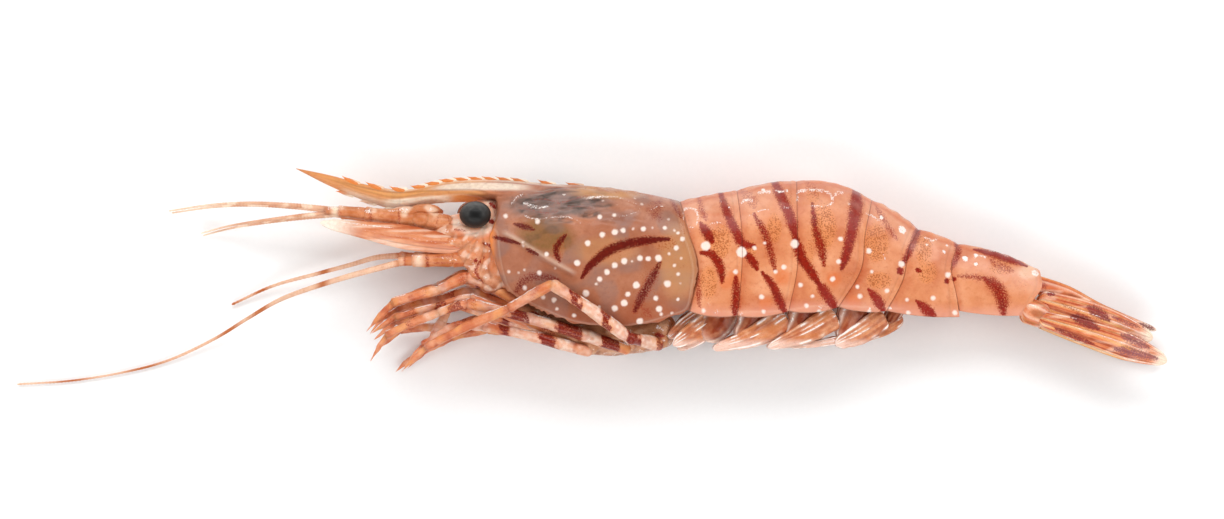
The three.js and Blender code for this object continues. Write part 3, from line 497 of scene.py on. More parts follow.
# %% Painted highlights on thin wet edges of the upper flank, each a line with its half-width, and on glossy beads: x, y, radius
GLINT_LINES = [
    ([(15.5, 8.2), (17.5, 8.4), (17.6, 10.9), (15.7, 11.2), (15.4, 9.6), (15.6, 8.1)], 0.26),
    ([(19.4, 8.6), (21.0, 8.9), (22.6, 8.7)], 0.26),
    ([(24.7, 12.2), (26.0, 12.7), (27.3, 12.6)], 0.29),
    ([(26.0, 9.8), (28.0, 10.9), (30.1, 11.2)], 0.26),
    ([(27.7, 13.7), (29.0, 14.1), (30.3, 13.9)], 0.32),
    ([(30.7, 14.4), (31.9, 14.1), (33.1, 14.3)], 0.26),
    ([(32.0, 11.6), (33.3, 11.3)], 0.26),
    ([(34.6, 12.0), (37.6, 11.7), (40.1, 12.1), (40.2, 13.6), (38.4, 14.4), (35.0, 14.3), (34.5, 13.0),
      (34.7, 12.0)], 0.27),
    ([(40.6, 13.5), (41.6, 14.0), (42.5, 13.8)], 0.32),
    ([(45.6, 10.6), (47.2, 10.0), (48.4, 9.0)], 0.24),
    ([(47.6, 4.4), (48.8, 3.8), (49.4, 2.4)], 0.21),
    ([(55.6, 6.6), (57.2, 6.0), (58.6, 6.4)], 0.26),
    ([(64.0, 3.0), (65.4, 3.4), (66.6, 3.0)], 0.22),
    ([(66.5, 4.5), (69.0, 3.7), (71.5, 2.9)], 0.22),
    ([(-11.8, 12.4), (-9.0, 11.5), (-6.8, 11.8)], 0.27),
    ([(-11.8, 10.6), (-10.5, 9.8), (-8.7, 9.5), (-6.8, 9.8), (-3.9, 9.8), (-2.2, 9.1), (-1.3, 8.4)], 0.26),
    ([(-2.2, 12.8), (0, 13.2), (3.6, 13.3), (5.7, 12.8), (7.7, 12.0), (7.9, 11.0), (6.6, 10.4), (4.2, 9.8),
      (1.8, 9.1)], 0.24),
    ([(-13.6, 11.9), (-12.6, 13.2), (-11.2, 13.9)], 0.24),
    ([(9.6, 10.9), (11.2, 11.7), (12.4, 11.6)], 0.22),
]
GLINT_BEADS = [
    (52.3, 7.9, 0.8), (48.7, 9.9, 0.45), (59.9, 5.3, 0.4), (59.3, 4.1, 0.4), (56.5, 5.4, 0.35),
    (62.9, 3.0, 0.55), (64.7, 3.7, 0.4), (64.7, 2.0, 0.4), (21.6, 12.6, 0.35), (23.1, 11.6, 0.3),
    (43.2, 12.2, 0.35), (74.8, 0.7, 0.8), (19.6, -4.6, 0.35), (28.8, 14.6, 0.4), (37.0, 16.2, 0.45),
    (9.0, 13.4, 0.4), (-4.6, 13.9, 0.4), (21.0, -6.0, 0.5), (25.0, -6.3, 0.45), (28.9, -5.9, 0.4),
    (38.4, -5.2, 0.5), (46.7, -5.6, 0.4), (50.4, -5.4, 0.4),
]
# Orange-red smudges beside some of the dots: x, y, radius
SMUDGES = [
    (22.6, -1.1, 1.3), (23.9, -0.3, 1.43), (32.0, -0.2, 1.56), (40.6, -0.5, 1.43), (29.2, -4.6, 1.3),
    (44.0, -4.4, 1.3),
]


# %% Read the markings at a set of points
STRIPE_FADE = (0.15, 2.0)
DOT_EDGE = 0.5


def side_distance(points, line):
    """Distance in the side view to a line, and the share of the line where it is nearest."""
    line = np.array(line, float)
    best = np.full(len(points), 1e9)
    share = np.zeros(len(points))
    for i, (a, b) in enumerate(zip(line[:-1], line[1:])):
        span = b - a
        s = np.clip(((points[:, :2] - a) @ span) / max(span @ span, 1e-9), 0, 1)
        distance = np.linalg.norm(points[:, :2] - a - s[:, None] * span, axis=1)
        nearer = distance < best
        best[nearer] = distance[nearer]
        share[nearer] = (i + s[nearer]) / (len(line) - 1)
    return best, share


def curved(line):
    """More points on a line, so that it bends softly."""
    return spline(line, np.linspace(0, 1, 6 * len(line))) if len(line) > 2 else line


def line_at(points, line, half):
    """1 on a line, fading to each side and towards its two ends."""
    distance, share = side_distance(points, curved(line))
    return hump(distance, 0, half) * smooth(0, 0.12, share) * smooth(0, 0.12, 1 - share)


def patch_at(points, x, y, across, up, lean=0.0):
    """1 inside an oval patch, fading over its edge. lean is how far it climbs per mm along the body."""
    reach = np.hypot((points[:, 0] - x) / across, (points[:, 1] - y - lean * (points[:, 0] - x)) / up)
    return fade(0.55, 1.2, reach)


def stripes_at(points, stripes):
    """Pigment from 0 to 1, and how purple it is. A stripe fades to its sides and narrows at its ends."""
    pigment = np.zeros(len(points))
    purple = np.zeros(len(points))
    for line, half, strength, hue in stripes:
        distance, share = side_distance(points, curved(line))
        size = values_at(half, share) * (0.5 + 0.5 * smooth(0, 0.2, share) * smooth(0, 0.2, 1 - share)) + 0.12
        level = strength * fade(*STRIPE_FADE, distance / size)
        stronger = level > pigment
        pigment[stronger] = level[stronger]
        purple[stronger] = hue
    return pigment, purple


def most(points, kind, marks):
    """The strongest of many marks at each point."""
    level = np.zeros(len(points))
    for mark in marks:
        level = np.maximum(level, kind(points, *mark))
    return level


def stippled(points, patches, least=0.16):
    """How close together the pigment specks stand."""
    level = np.full(len(points), least)
    for *oval, strength in patches:
        level = np.maximum(level, strength * patch_at(points, *oval))
    return level


def dots_at(points, dots):
    """0.5 on the rim of a white dot, 1 well inside and 0 well outside."""
    middle = midplane(points[:, 0])
    top = np.where(points[:, 2] >= middle)[0]
    level = np.zeros(len(points))
    for x, y, radius in dots:
        offset = np.hypot(points[top, 0] - x, points[top, 1] - y)
        # of the points near the mark, the highest is on the outer skin
        close = top[offset < 0.4]
        if not len(close):
            continue
        centre = points[close[np.argmax(points[close, 2])]].copy()
        centre[:2] = x, y
        for side, _ in SIDES:
            spot = centre.copy()
            spot[2] = midplane(x) + side * (centre[2] - midplane(x))
            distance = np.linalg.norm(points - spot, axis=1)
            level = np.maximum(level, np.clip(DOT_EDGE + (radius - distance), 0, 1))
    return level


def glints_and_sheen(lines, sheen, beads):
    """Painted highlights of the water film: thin lines and a sheen, and over them the beads."""
    return np.clip(0.68 * lines + 0.35 * sheen, 0, 0.8) + 0.7 * smooth(0.35, 0.65, beads)


print("dots:", len(CARAPACE_DOTS) + len(TAIL_DOTS), "stripes:", len(CARAPACE_STRIPES) + len(TAIL_STRIPES))

# %% [markdown]
# ## Colour and finish
# Raw shrimp shell is a thin, wet, half-clear cuticle over pale flesh. Colour comes from three places: the
# peach flesh below, clouds of orange and brown, and tiny pigment cells that make both the stipple and, where
# they crowd together, the dark stripes. Over it all lies a film of water, which is why the highlights are
# small and bright. The principled shader gives a little subsurface light and a wet coat, and many highlights
# and a pinkish sheen are painted into the colour as well.


# %% Colour and node helpers
def hex_colour(text):
    """An sRGB hex value as linear light."""
    parts = [int(text[i : i + 2], 16) / 255 for i in (1, 3, 5)]
    return (*[c / 12.92 if c <= 0.04045 else ((c + 0.055) / 1.055) ** 2.4 for c in parts], 1.0)


def add(tree, kind, settings=None, inputs=None):
    """Adds a node with its settings. An input is a number, a colour or the output of another node."""
    made = tree.nodes.new(kind)
    for key, value in (settings or {}).items():
        setattr(made, key, value)
    for key, value in (inputs or {}).items():
        if isinstance(value, bpy.types.NodeSocket):
            tree.links.new(value, made.inputs[key])
        else:
            made.inputs[key].default_value = value
    return made


def blank_material(name):
    """A material whose node tree is empty."""
    material = bpy.data.materials.new(name)
    material.use_nodes = True
    material.node_tree.nodes.clear()
    return material


PER_METRE = 1 / MM
MIX_A, MIX_B, MIX_OUT = 6, 7, 2
SOFT, COLOUR, CELLS = {"interpolation_type": "SMOOTHSTEP"}, {"data_type": "RGBA"}, {"feature": "F1"}
TIMES, MINUS, TIMES_PLUS = ({"operation": word} for word in ("MULTIPLY", "SUBTRACT", "MULTIPLY_ADD"))
TIMES_HELD = {"operation": "MULTIPLY", "use_clamp": True}

# %% [markdown]
# One recipe serves every soft or shelly part. It lays the colours down in order, from the flesh up: flesh
# tones in clouds, whatever shows through from inside, scattered brown specks, the crowded pigment of a
# stripe, a painted pinkish sheen on the wet back, white dots, painted highlights along water lines and beads,
# and last the thin dark seams, which are partly painted shade.

# %% The wet skin recipe
MOTTLE, GRAIN = 0.7, 0.22  # real sizes in mm
# real pigment cells are about 0.1 mm; drawn at more than twice that, so that single ones can show
SPECK, FINE_SPECK = 0.25, 0.225
STRIPE_CORE, STRIPE_EDGE, STRIPE_GRAIN = "#620500", "#AC3006", "#961C00"
# painted light: the first colour on the next line is a painted pinkish sheen, the third a painted white
# highlight
SHEEN_PINK, DOT_WHITE, GLINT_WHITE, SEAM_BROWN = "#F0CBBA", "#F3DFD3", "#FAEEE8", "#5E2C1A"
SKIN_NUMBERS = ("pigment", "purple", "stipple", "dot", "film", "veil", "seam")


def wet_skin(name, tones, tints=(), pigments=("#8C1000", "#96201A"), speck="#9E4E22", clouds=5.0, wrinkle=1.2,
             bump=0.12, roughness=0.3, coat=0.16, ground="#DE8A4C"):
    """A wet cuticle. tones are the low, middle and high tone of the flesh below, tints are layers of
    (number on the mesh, colour), clouds and wrinkle are sizes in mm and bump a height in mm."""
    material = blank_material(name)
    tree = material.node_tree
    place = add(tree, "ShaderNodeTexCoord").outputs["Object"]
    number = {}
    for key in (*SKIN_NUMBERS, *[key for key, _ in tints]):
        number[key] = add(tree, "ShaderNodeAttribute", {"attribute_name": key}).outputs["Fac"]
    noises = []
    for size, detail in ((clouds, 4.0), (MOTTLE, 3.0), (GRAIN, 2.0), (wrinkle, 3.0)):
        knobs = {"Vector": place, "Scale": PER_METRE / size, "Detail": detail, "Roughness": 0.6}
        noises.append(add(tree, "ShaderNodeTexNoise", None, knobs).outputs["Fac"])
    cloud, mottle, grain, folds = noises
    # flesh tones in soft clouds
    ramp = add(tree, "ShaderNodeValToRGB", None, {"Fac": cloud})
    ramp.color_ramp.elements[0].position = 0.32
    ramp.color_ramp.elements[0].color = hex_colour(tones[0])
    ramp.color_ramp.elements[1].position = 0.7
    ramp.color_ramp.elements[1].color = hex_colour(tones[2])
    ramp.color_ramp.elements.new(0.5).color = hex_colour(tones[1])
    # brown specks: a cell shows its centre, and the more stippled the place the bigger the centres are
    cell = add(tree, "ShaderNodeTexVoronoi", CELLS, {"Vector": place, "Scale": PER_METRE / SPECK})
    chance = add(tree, "ShaderNodeSeparateColor", None, {"Color": cell.outputs["Color"]}).outputs["Red"]
    size = add(tree, "ShaderNodeMath", TIMES_PLUS, {0: chance, 1: 0.4, 2: 0.3}).outputs[0]
    size = add(tree, "ShaderNodeMath", TIMES, {0: size, 1: number["stipple"]}).outputs[0]
    speckled = add(tree, "ShaderNodeMath", MINUS, {0: size, 1: cell.outputs["Distance"]}).outputs[0]
    # a stripe: solid in the middle, and at its edges it breaks up into specks
    fine = add(tree, "ShaderNodeTexVoronoi", CELLS, {"Vector": place, "Scale": PER_METRE / FINE_SPECK})
    rough = add(tree, "ShaderNodeMath", TIMES_PLUS, {0: fine.outputs["Distance"], 1: 0.8, 2: -0.35})
    ragged = add(tree, "ShaderNodeMath", TIMES_PLUS, {0: grain, 1: 1.1, 2: rough.outputs[0]})
    crowd = add(tree, "ShaderNodeMath", TIMES, {0: number["pigment"], 1: 1.5})
    excess = add(tree, "ShaderNodeMath", MINUS, {0: crowd.outputs[0], 1: ragged.outputs[0]}).outputs[0]
    # white dots, guanine under the cuticle, have a mottled rim
    dotted = add(tree, "ShaderNodeMath", TIMES_PLUS, {0: mottle, 1: 0.4, 2: number["dot"]}).outputs[0]
    # painted highlights where water stands along thin lines and in beads; the grain breaks them up
    broken = add(tree, "ShaderNodeMath", TIMES, {0: mottle, 1: 0.5})
    broken = add(tree, "ShaderNodeMath", TIMES_PLUS, {0: grain, 1: 0.9, 2: broken.outputs[0]})
    glinting = add(tree, "ShaderNodeMath", TIMES_PLUS, {0: number["film"], 1: 0.62, 2: broken.outputs[0]})
    # how much of each layer there is: none where its value is at low, and the top amount where it is at high
    amount = {"purple": number["purple"]}
    for key, value, low, high, top in (
        ("mottled", mottle, 0.5, 0.72, 0.5),
        ("ground", number["stipple"], 0.3, 0.9, 0.4),
        ("specks", speckled, -0.08, 0.14, 0.72),
        ("core", mottle, 0.42, 0.66, 0.6),
        ("edge", number["pigment"], 0.7, 0.25, 1.0),
        ("grained", grain, 0.52, 0.7, 0.5),
        ("present", excess, -0.2, 0.62, 0.97),
        ("begun", number["pigment"], 0.03, 0.2, 1.0),
        ("clouded", cloud, 0.3, 0.7, 0.18),
        ("dot", dotted, 0.6, 0.98, 0.94),
        ("film", glinting.outputs[0], 1.12, 1.3, 0.9),
    ):
        knobs = {"Value": value, "From Min": low, "From Max": high, "To Min": 0.0, "To Max": top}
        amount[key] = add(tree, "ShaderNodeMapRange", SOFT, knobs).outputs["Result"]
    # layers that need two amounts at once; the mottle breaks up what shows through the shell
    uneven = add(tree, "ShaderNodeMath", TIMES_PLUS, {0: mottle, 1: 1.0, 2: 0.5}).outputs[0]
    # the second of these layers is a painted pinkish sheen, shown in clouds
    for key, one, other in (
        ("stripe", amount["present"], amount["begun"]),
        ("sheen_layer", amount["clouded"], number["veil"]),
        ("seam", number["seam"], 0.8),
        *[(key, number[key], uneven) for key, _ in tints],
    ):
        amount[key] = add(tree, "ShaderNodeMath", TIMES_HELD, {0: one, 1: other}).outputs[0]
    # the pigment of a stripe, darkest in its core, rusty at its edge, and purple in places
    tone = hex_colour(pigments[0])
    stripe_tones = (STRIPE_CORE, STRIPE_EDGE, STRIPE_GRAIN, pigments[1])
    for key, above in zip(("core", "edge", "grained", "purple"), stripe_tones):
        knobs = {0: amount[key], MIX_A: tone, MIX_B: hex_colour(above)}
        tone = add(tree, "ShaderNodeMix", COLOUR, knobs).outputs[MIX_OUT]
    # all the layers, from the flesh up to the seams, which gather dirt and shade
    layers = [("mottled", tones[0]), *tints, ("ground", ground), ("specks", speck), ("stripe", tone)]
    layers += [("sheen_layer", SHEEN_PINK), ("dot", DOT_WHITE), ("film", GLINT_WHITE), ("seam", SEAM_BROWN)]
    colour = ramp.outputs["Color"]
    for key, above in layers:
        above = hex_colour(above) if isinstance(above, str) else above
        knobs = {0: amount[key], MIX_A: colour, MIX_B: above}
        colour = add(tree, "ShaderNodeMix", COLOUR, knobs).outputs[MIX_OUT]
    # relief: soft wrinkles and a fine grain, so that the wet highlights break up, and a small rise under the
    # painted highlights
    raised = add(tree, "ShaderNodeMath", TIMES_PLUS, {0: amount["film"], 1: 0.35, 2: folds}).outputs[0]
    relief = add(tree, "ShaderNodeMath", TIMES_PLUS, {0: grain, 1: 0.12, 2: raised}).outputs[0]
    bumped = add(tree, "ShaderNodeBump", None, {"Strength": 0.6, "Distance": bump * MM, "Height": relief})
    shine = add(tree, "ShaderNodeMath", TIMES_PLUS, {0: mottle, 1: 0.16, 2: roughness - 0.08}).outputs[0]
    shader = add(tree, "ShaderNodeBsdfPrincipled", None, {
        "Base Color": colour, "Roughness": shine, "IOR": 1.38, "Specular IOR Level": 0.32,
        "Coat Weight": coat, "Coat Roughness": 0.1, "Coat IOR": 1.33, "Normal": bumped.outputs["Normal"],
        "Subsurface Weight": 0.12, "Subsurface Scale": 0.0006, "Subsurface Radius": (1.0, 0.45, 0.25),
    })
    add(tree, "ShaderNodeOutputMaterial", None, {"Surface": shader.outputs["BSDF"]})
    return material


print("recipe ready")

# %% [markdown]
# ## The finishes
# The tail shell is the clearest and palest. The carapace is darker, because the organs show through it. The
# fan, the legs and the feelers are solid cuticle, more orange and less clear.

# %% Finishes
# thin clear cuticle over peach meat: the lightest of the shells, with a soft glow
TAIL_SHELL = wet_skin(
    "wet_tail_cuticle", ("#C8744C", "#D88B60", "#E39E76"),
    tints=(("rust", "#B8552F"), ("orange", "#DA7038"), ("pale", "#F4D6B8"), ("pink", "#DE9C88")),
)
# the same cuticle over dark organs: browner, with olive and grey-lilac showing through
CARAPACE_SHELL = wet_skin(
    "wet_carapace_cuticle", ("#9C5B3F", "#AC6D50", "#BC7E60"), clouds=6.0, pigments=("#5A0300", "#7C1C1C"),
    tints=(("olive", "#7D5A30"), ("lilac", "#836C66"), ("rust", "#9C4A2B"), ("tan", "#C48D5C"),
           ("orange", "#E0813F"), ("gold", "#E29E5E"), ("pale", "#F6E3CC"), ("shade", "#45362F")),
    ground="#C2784A",
)
# soft face skin between hard plates
HEAD_SKIN = wet_skin(
    "wet_face_skin", ("#BC7048", "#CF8A63", "#DFA582"), clouds=2.2, wrinkle=0.8, bump=0.12,
    tints=(("rust", "#93482A"), ("orange", "#DD7A42"), ("pale", "#F2CFB8")),
)
# brown membrane under the chest
CHEST_SKIN = wet_skin(
    "wet_chest_membrane", ("#A8684A", "#BC805C", "#CE9874"), clouds=2.0, wrinkle=0.8, bump=0.15,
    tints=(("rust", "#5F1B0C"), ("pale", "#E3B695")),
)
# hard leg cuticle, banded dark red and white
LEG_SHELL = wet_skin(
    "banded_leg_cuticle", ("#C96C42", "#D8855A", "#E6A682"), clouds=2.5, pigments=("#7C1206", "#92302A"),
    tints=(("rust", "#A8442A"), ("gold", "#E8A060"), ("pale", "#F0D2C0")), wrinkle=0.8, coat=0.4,
)
# stiff feeler cuticle, orange and nearly opaque
FEELER_SHELL = wet_skin(
    "feeler_cuticle", ("#BF693F", "#D08356", "#E0A078"), clouds=1.8, wrinkle=0.6,
    tints=(("rust", "#B5622F"), ("pale", "#F6DCC2")),
)
# the feeler scale is a thin clear blade, so it is nearly the white of the table at its tip
SCALE_SHELL = wet_skin(
    "clear_scale_cuticle", ("#C9744A", "#D88A5F", "#E6A67E"), clouds=3.5,
    tints=(("rust", "#B8592E"), ("pink", "#E8B79E"), ("pale", "#F3E6D6")),
)
# thin red-brown paddles, very wet
SWIMMERET_SKIN = wet_skin(
    "swimmeret_cuticle", ("#B5603C", "#CB8058", "#DFA47E"), clouds=2.0, wrinkle=0.8, coat=0.4,
    tints=(("rust", "#8E3A1E"), ("gold", "#D08048"), ("pink", "#ECC4B2"), ("pale", "#FBEBDA")),
)
# opaque ribbed fan blades
FAN_SHELL = wet_skin(
    "ribbed_fan_cuticle", ("#C9653B", "#D97D50", "#E59A70"), clouds=2.5, pigments=("#8C2416", "#8E5458"),
    tints=(("rust", "#A94020"), ("gold", "#EAB06A"), ("pink", "#DC9A86"), ("pale", "#FCE3CC")),
)

# %% [markdown]
# ## The tail rings
# Six arched rings, each tucked under the one before. The solids keep a small gap between rings; here each
# ring runs forward under its neighbour, so no gap shows, and its rear edge is a thin round lip.

# %% Tail ring sizes
RING_EDGES = [
    [[14.9, 12.6], [16.2, 7.4], [17.9, 1.3], [16.5, -6.0]],
    [[24.4, 14.4], [25.1, 7.7], [25.1, 1.0], [24.4, -6.7]],
    [[34.4, 16.0], [34.4, 8.6], [34.4, 1.3], [33.0, -5.9]],
    [[47.1, 12.9], [45.8, 6.9], [45.1, 1.0], [41.4, -5.2]],
    [[55.0, 7.9], [53.2, 4.4], [52.2, -0.7], [49.5, -5.9]],
    [[61.6, 5.5], [60.4, 1.3], [61.2, -2.7], [61.9, -6.9]],
    [[75.6, 1.0], [75.8, -1.8], [74.4, -4.0], [72.7, -6.7]],
]
TAIL_RINGS = [
    {"back": 0.15, "belly": 0.5, "half_width": [8.05, 8.35, 8.4]},
    {"back": 0.4, "belly": 0.6, "half_width": [8.3, 8.6, 8.4]},
    {"back": 1.25, "belly": 0.6, "half_width": [8.25, 8.05, 7.2]},
    {"back": 0.6, "belly": 0.5, "half_width": [7.05, 6.5, 5.8]},
    {"back": 0.35, "belly": 0.4, "half_width": [5.7, 5.3, 4.8]},
    {"back": 0.75, "belly": 0.3, "half_width": [4.65, 4.4, 4.0]},
]
LAST_RING_MARGIN = -5.9
BACK_LINE = [
    [15, 12.6], [24.4, 14.4], [34.4, 16.0], [41, 15.7], [47.1, 12.9], [55, 7.9], [61.6, 5.5], [75.6, 1.0],
]
LOW_LINE = [[15, -6.4], [24.4, -7.1], [33.0, -6.3], [41.4, -5.6], [49.5, -6.2], [61.9, -7.1], [72.7, -6.7]]
HEM_SEAM = [[18.8, -6.0], [28.3, -6.0], [33.6, -5.6], [38.4, -5.0], [46.0, -5.2], [54.0, -5.6]]
RUSTY_HEM, PALE_END = (30, -4.6, 7.5, 1.8), (73.6, 0.6, 2.0, 1.3)
RING_TUCK, RING_DIVE = 1.1, 0.35
RING_STEP, RING_LIP, RING_SPACING = 0.07, 0.08, 0.195
RING_SECTION = cross_section(54, 48)


# %% Tail rings
def tail_ring(index):
    """One ring's points and faces, and for each point how far in mm it lies behind the front edge and before
    the rear edge, and whether it is on the outside."""
    front = [list(p) for p in RING_EDGES[index]]
    if index == len(TAIL_RINGS) - 1:
        front[-1][1] = LAST_RING_MARGIN
    shape = {**TAIL_RINGS[index], "front": front, "rear": RING_EDGES[index + 1]}
    length = RING_EDGES[index + 1][1][0] - RING_EDGES[index][1][0]
    hidden = -RING_TUCK * np.linspace(1, 0, 6)[:-1] / length
    open_part = np.linspace(0, 1 - RING_LIP / length, int(length / RING_SPACING))
    lip = 1 - np.linspace(1, 0, 7)[1:] ** 2 * RING_LIP / length
    u = np.r_[hidden, open_part, lip]
    inset = RING_STEP * np.clip(1 - u, 0, 2) ** 3 + np.clip(-u * length, 0, 9) * RING_DIVE
    inset += rounded((1 - u) * length, RING_LIP)
    points, faces = skin(plate(shape, u, inset, RING_SECTION))
    share = np.repeat(u, len(RING_SECTION[0]))
    outside = np.tile(RING_SECTION[2] < 0.1, len(u))
    return points, faces, share * length, (1 - share) * length, outside


for index in range(len(TAIL_RINGS)):
    points, faces, from_front, from_rear, outside = tail_ring(index)
    x, y = points[:, 0], points[:, 1]
    pigment, purple = stripes_at(points, TAIL_STRIPES)
    from_back = along(BACK_LINE, np.clip(x, BACK_LINE[0][0], BACK_LINE[-1][0])) - y
    from_hem = y - np.interp(x, *np.array(LOW_LINE).T)
    upper = fade(2.0, 6.5, from_back) * smooth(0.0, 1.2, from_back)
    # creases of the thin shell under the film of water, mostly on the upper flank
    folds = 0.07 * waves(points * [1.0, 0.8, 0.8], 2.4, 10 + index) * fade(3.0, 8.0, from_back)
    folds += 0.025 * waves(points, 4.0, 20 + index)
    folds -= 0.04 * hump(from_rear, 0.95, 0.2)
    inside = smooth(0.0, 0.6, from_front) * smooth(0.05, 0.5, from_rear)
    # painted light: white highlights along the glint lines and in beads, and over the upper flank a painted
    # white and pinkish sheen
    film = most(points, line_at, GLINT_LINES)
    beads = dots_at(points, GLINT_BEADS)
    folds = folds + 0.05 * film + 0.12 * smooth(0.4, 0.7, beads)
    points = pushed(points, faces, folds * inside)
    laid(points)
    rust = 0.4 * fade(0.2, 1.6, from_front) + 0.4 * patch_at(points, *RUSTY_HEM)
    rust += 0.5 * hump(x, 44, 3.0) * hump(y, -1, 4.0) + 0.5 * hump(from_back, 0.5, 0.3)
    smudged = most(points, patch_at, [(a, b, radius, radius) for a, b, radius in SMUDGES])
    hem_line = line_at(points, HEM_SEAM, 0.16)
    make_piece(
        f"tail_ring_{index + 1}", "tail_shell", TAIL_SHELL, points, faces, veil=upper, rust=rust,
        pigment=pigment * outside, purple=np.maximum(purple, 0.3 * upper), stipple=stippled(points, STIPPLE),
        dot=dots_at(points, TAIL_DOTS), film=glints_and_sheen(film, upper, beads),
        seam=0.7 * fade(0.0, 0.16, from_front) + 0.2 * hump(from_rear, 0.95, 0.12),
        pale=0.3 * ~outside + 0.35 * hem_line + 0.6 * patch_at(points, *PALE_END),
        orange=0.5 * smudged + 0.3 * hump(from_back, 0.3, 0.5),
        pink=0.6 * fade(0.2, 2.6, from_hem) + 0.25 * upper,
    )

# %% [markdown]
# ## The carapace and rostrum
# One piece on the animal: a saddle of shell over the head and chest that runs forward into a toothed blade.
# Both are built as skins, melted into one with a voxel remesh, and relaxed, which gives the soft fillet
# where the blade leaves the shell. Fine lines come after that, because the remesh would lose them.

# %% Carapace sizes
FACE_EDGE = [[-16.7, 15.0], [-15.5, 10.8], [-17.2, 6.4], [-16.0, 2.0], [-14.4, -2.7]]
CARAPACE = {
    "front": FACE_EDGE, "rear": RING_EDGES[0], "back": 1.4, "belly": 4.7,
    "half_width": [6.2, 8.4, 8.9, 8.9, 8.5],
}
CARAPACE_LENGTH = 31.0
RIM, RIM_WALL = 0.16, 0.38
RIDGE = [[-49.8, 18.15], [-44, 16.95], [-38, 15.4], [-32, 14.6], [-24, 16.1], [-16, 16.3], [-4, 15.3]]
KEEL = [
    [-49.8, 18.05], [-44, 15.1], [-38, 12.6], [-32.6, 11.2], [-28, 11.9], [-24, 12.3], [-16, 12.4],
    [-4, 12.0],
]
BLADE_HALF = [[-49.8, 0.1], [-44, 0.75], [-38, 1.0], [-32, 1.2], [-24, 1.9], [-16, 4.6], [-4, 5.6]]
BLADE_SECTION = [[0, 0.0], [0.3, 0.5], [0.62, 1], [0.8, 0.7], [1, 0.0]]
BLADE_TIP, BLADE_SPLIT, BLADE_END, BLADE_OVERLAP = -49.8, -32.0, -3.9, 2
LEAST_HALF, LEAST_WIDTH = 0.2, 0.12
MELT, RELAX = 0.215, 8


# %% Carapace body
def blade_rings(x, points=24):
    """Cross-sections of the rostrum. The lower part is the widest, as a shelf along each side."""
    down = np.linspace(0, 1, points)
    share = np.r_[down, down[1:-1][::-1]]
    side = np.r_[np.ones(points), -np.ones(points - 2)]
    top, bottom, half = along(RIDGE, x), along(KEEL, x), along(BLADE_HALF, x)
    width = np.maximum(along(BLADE_SECTION, share), LEAST_WIDTH * np.sin(math.pi * share))
    y = top[:, None] + (bottom - top)[:, None] * share
    z = BODY_REST + side * np.maximum(half[:, None], LEAST_HALF) * width
    return np.stack([np.broadcast_to(x[:, None], y.shape), y, z], -1)


rim = RIM / CARAPACE_LENGTH
front_rim = np.linspace(0, 1, 8)[:-1] ** 2 * rim
rear_rim = 1 - np.linspace(1, 0, 8)[1:] ** 2 * rim
u = np.r_[front_rim, np.linspace(rim, 1 - rim, 130), rear_rim]
inset = rounded(u * CARAPACE_LENGTH, RIM) + rounded((1 - u) * CARAPACE_LENGTH, RIM)
saddle = skin(plate(CARAPACE, u, inset, cross_section(44, 48, 8, 10, lip_wall=RIM_WALL)))
blade_back = skin(blade_rings(np.arange(BLADE_SPLIT - BLADE_OVERLAP, BLADE_END, 0.3)))
points, faces = fused([saddle, blade_back], MELT, RELAX)
print("carapace after the melt:", len(points))

# %% [markdown]
# Fine lines on the carapace: the keel that runs along the blade and bends round the eye socket, a groove
# that divides cheek from gill cover, and the thin raised hem of the shell. Each is a line in the side view,
# and the skin is pushed out or in near it. The shell over the stomach is loose and wrinkles.

# %% Carapace relief
RIDGE_LINE = [(-44.7, 16.5), (-38.0, 14.8), (-33.0, 14.1), (-26.3, 14.4), (-19.6, 14.5), (-16.3, 13.6)]
BROW_LINE = [
    (-33.0, 13.2), (-27.7, 13.7), (-21.5, 14.0), (-18.9, 13.6), (-16.9, 12.6), (-15.7, 11.2), (-15.7, 9.4),
    (-16.6, 7.6),
]
CHEEK_LINE = [(-15.4, 7.7), (-12.4, 6.1), (-9.0, 4.0), (-5.4, 1.9), (-2.1, 0.2)]
MARGIN = [
    (-16.6, 7.0), (-16.0, 2.0), (-14.4, -2.7), (-11.0, -5.0), (-6.7, -7.05), (-3.0, -8.4), (1, -9.05),
    (5.0, -9.2), (8.8, -8.7), (13.0, -7.5), (16.5, -6.0), (17.6, -2.0), (17.9, 1.3), (17.2, 4.5),
    (16.2, 7.4), (14.9, 12.6),
]
WRINKLES = [
    [(-14.0, 12.8), (-10.7, 13.7), (-7.5, 14.1), (-5.7, 14.6)],
    [(-6.3, 12.0), (-3.9, 12.6), (-1.7, 13.3), (0.5, 13.7)],
    [(-12.6, 11.4), (-10.4, 11.2), (-8.0, 10.6), (-5.0, 10.8)],
    [(-10.4, 12.6), (-8.0, 12.9), (-4.8, 12.2)],
    [(-4.4, 11.6), (-2.0, 11.7), (0.6, 11.2)],
    [(-9.6, 14.4), (-4.0, 14.9), (1.2, 14.7)],
    [(-1.6, 10.2), (1.0, 11.0), (3.2, 11.4)],
]
RIM_ROUNDS = 14


def below(line, drop):
    """The same line, lower by drop."""
    return [(a, b - drop) for a, b in line]


def calmed(points, faces, rounds, share):
    """Relaxes further where share is above zero. The melt leaves steps along a thin rim."""
    faces = np.array(faces)
    ends = np.stack([faces.ravel(), np.roll(faces, -1, axis=1).ravel()])
    size = len(points)
    count = np.bincount(ends.ravel(), minlength=size)[:, None]
    for _ in range(rounds):
        sums = [np.bincount(ends.ravel(), points[ends[::-1].ravel(), k], size) for k in range(3)]
        points = points + 0.5 * share[:, None] * (np.stack(sums, 1) / count - points)
    return points


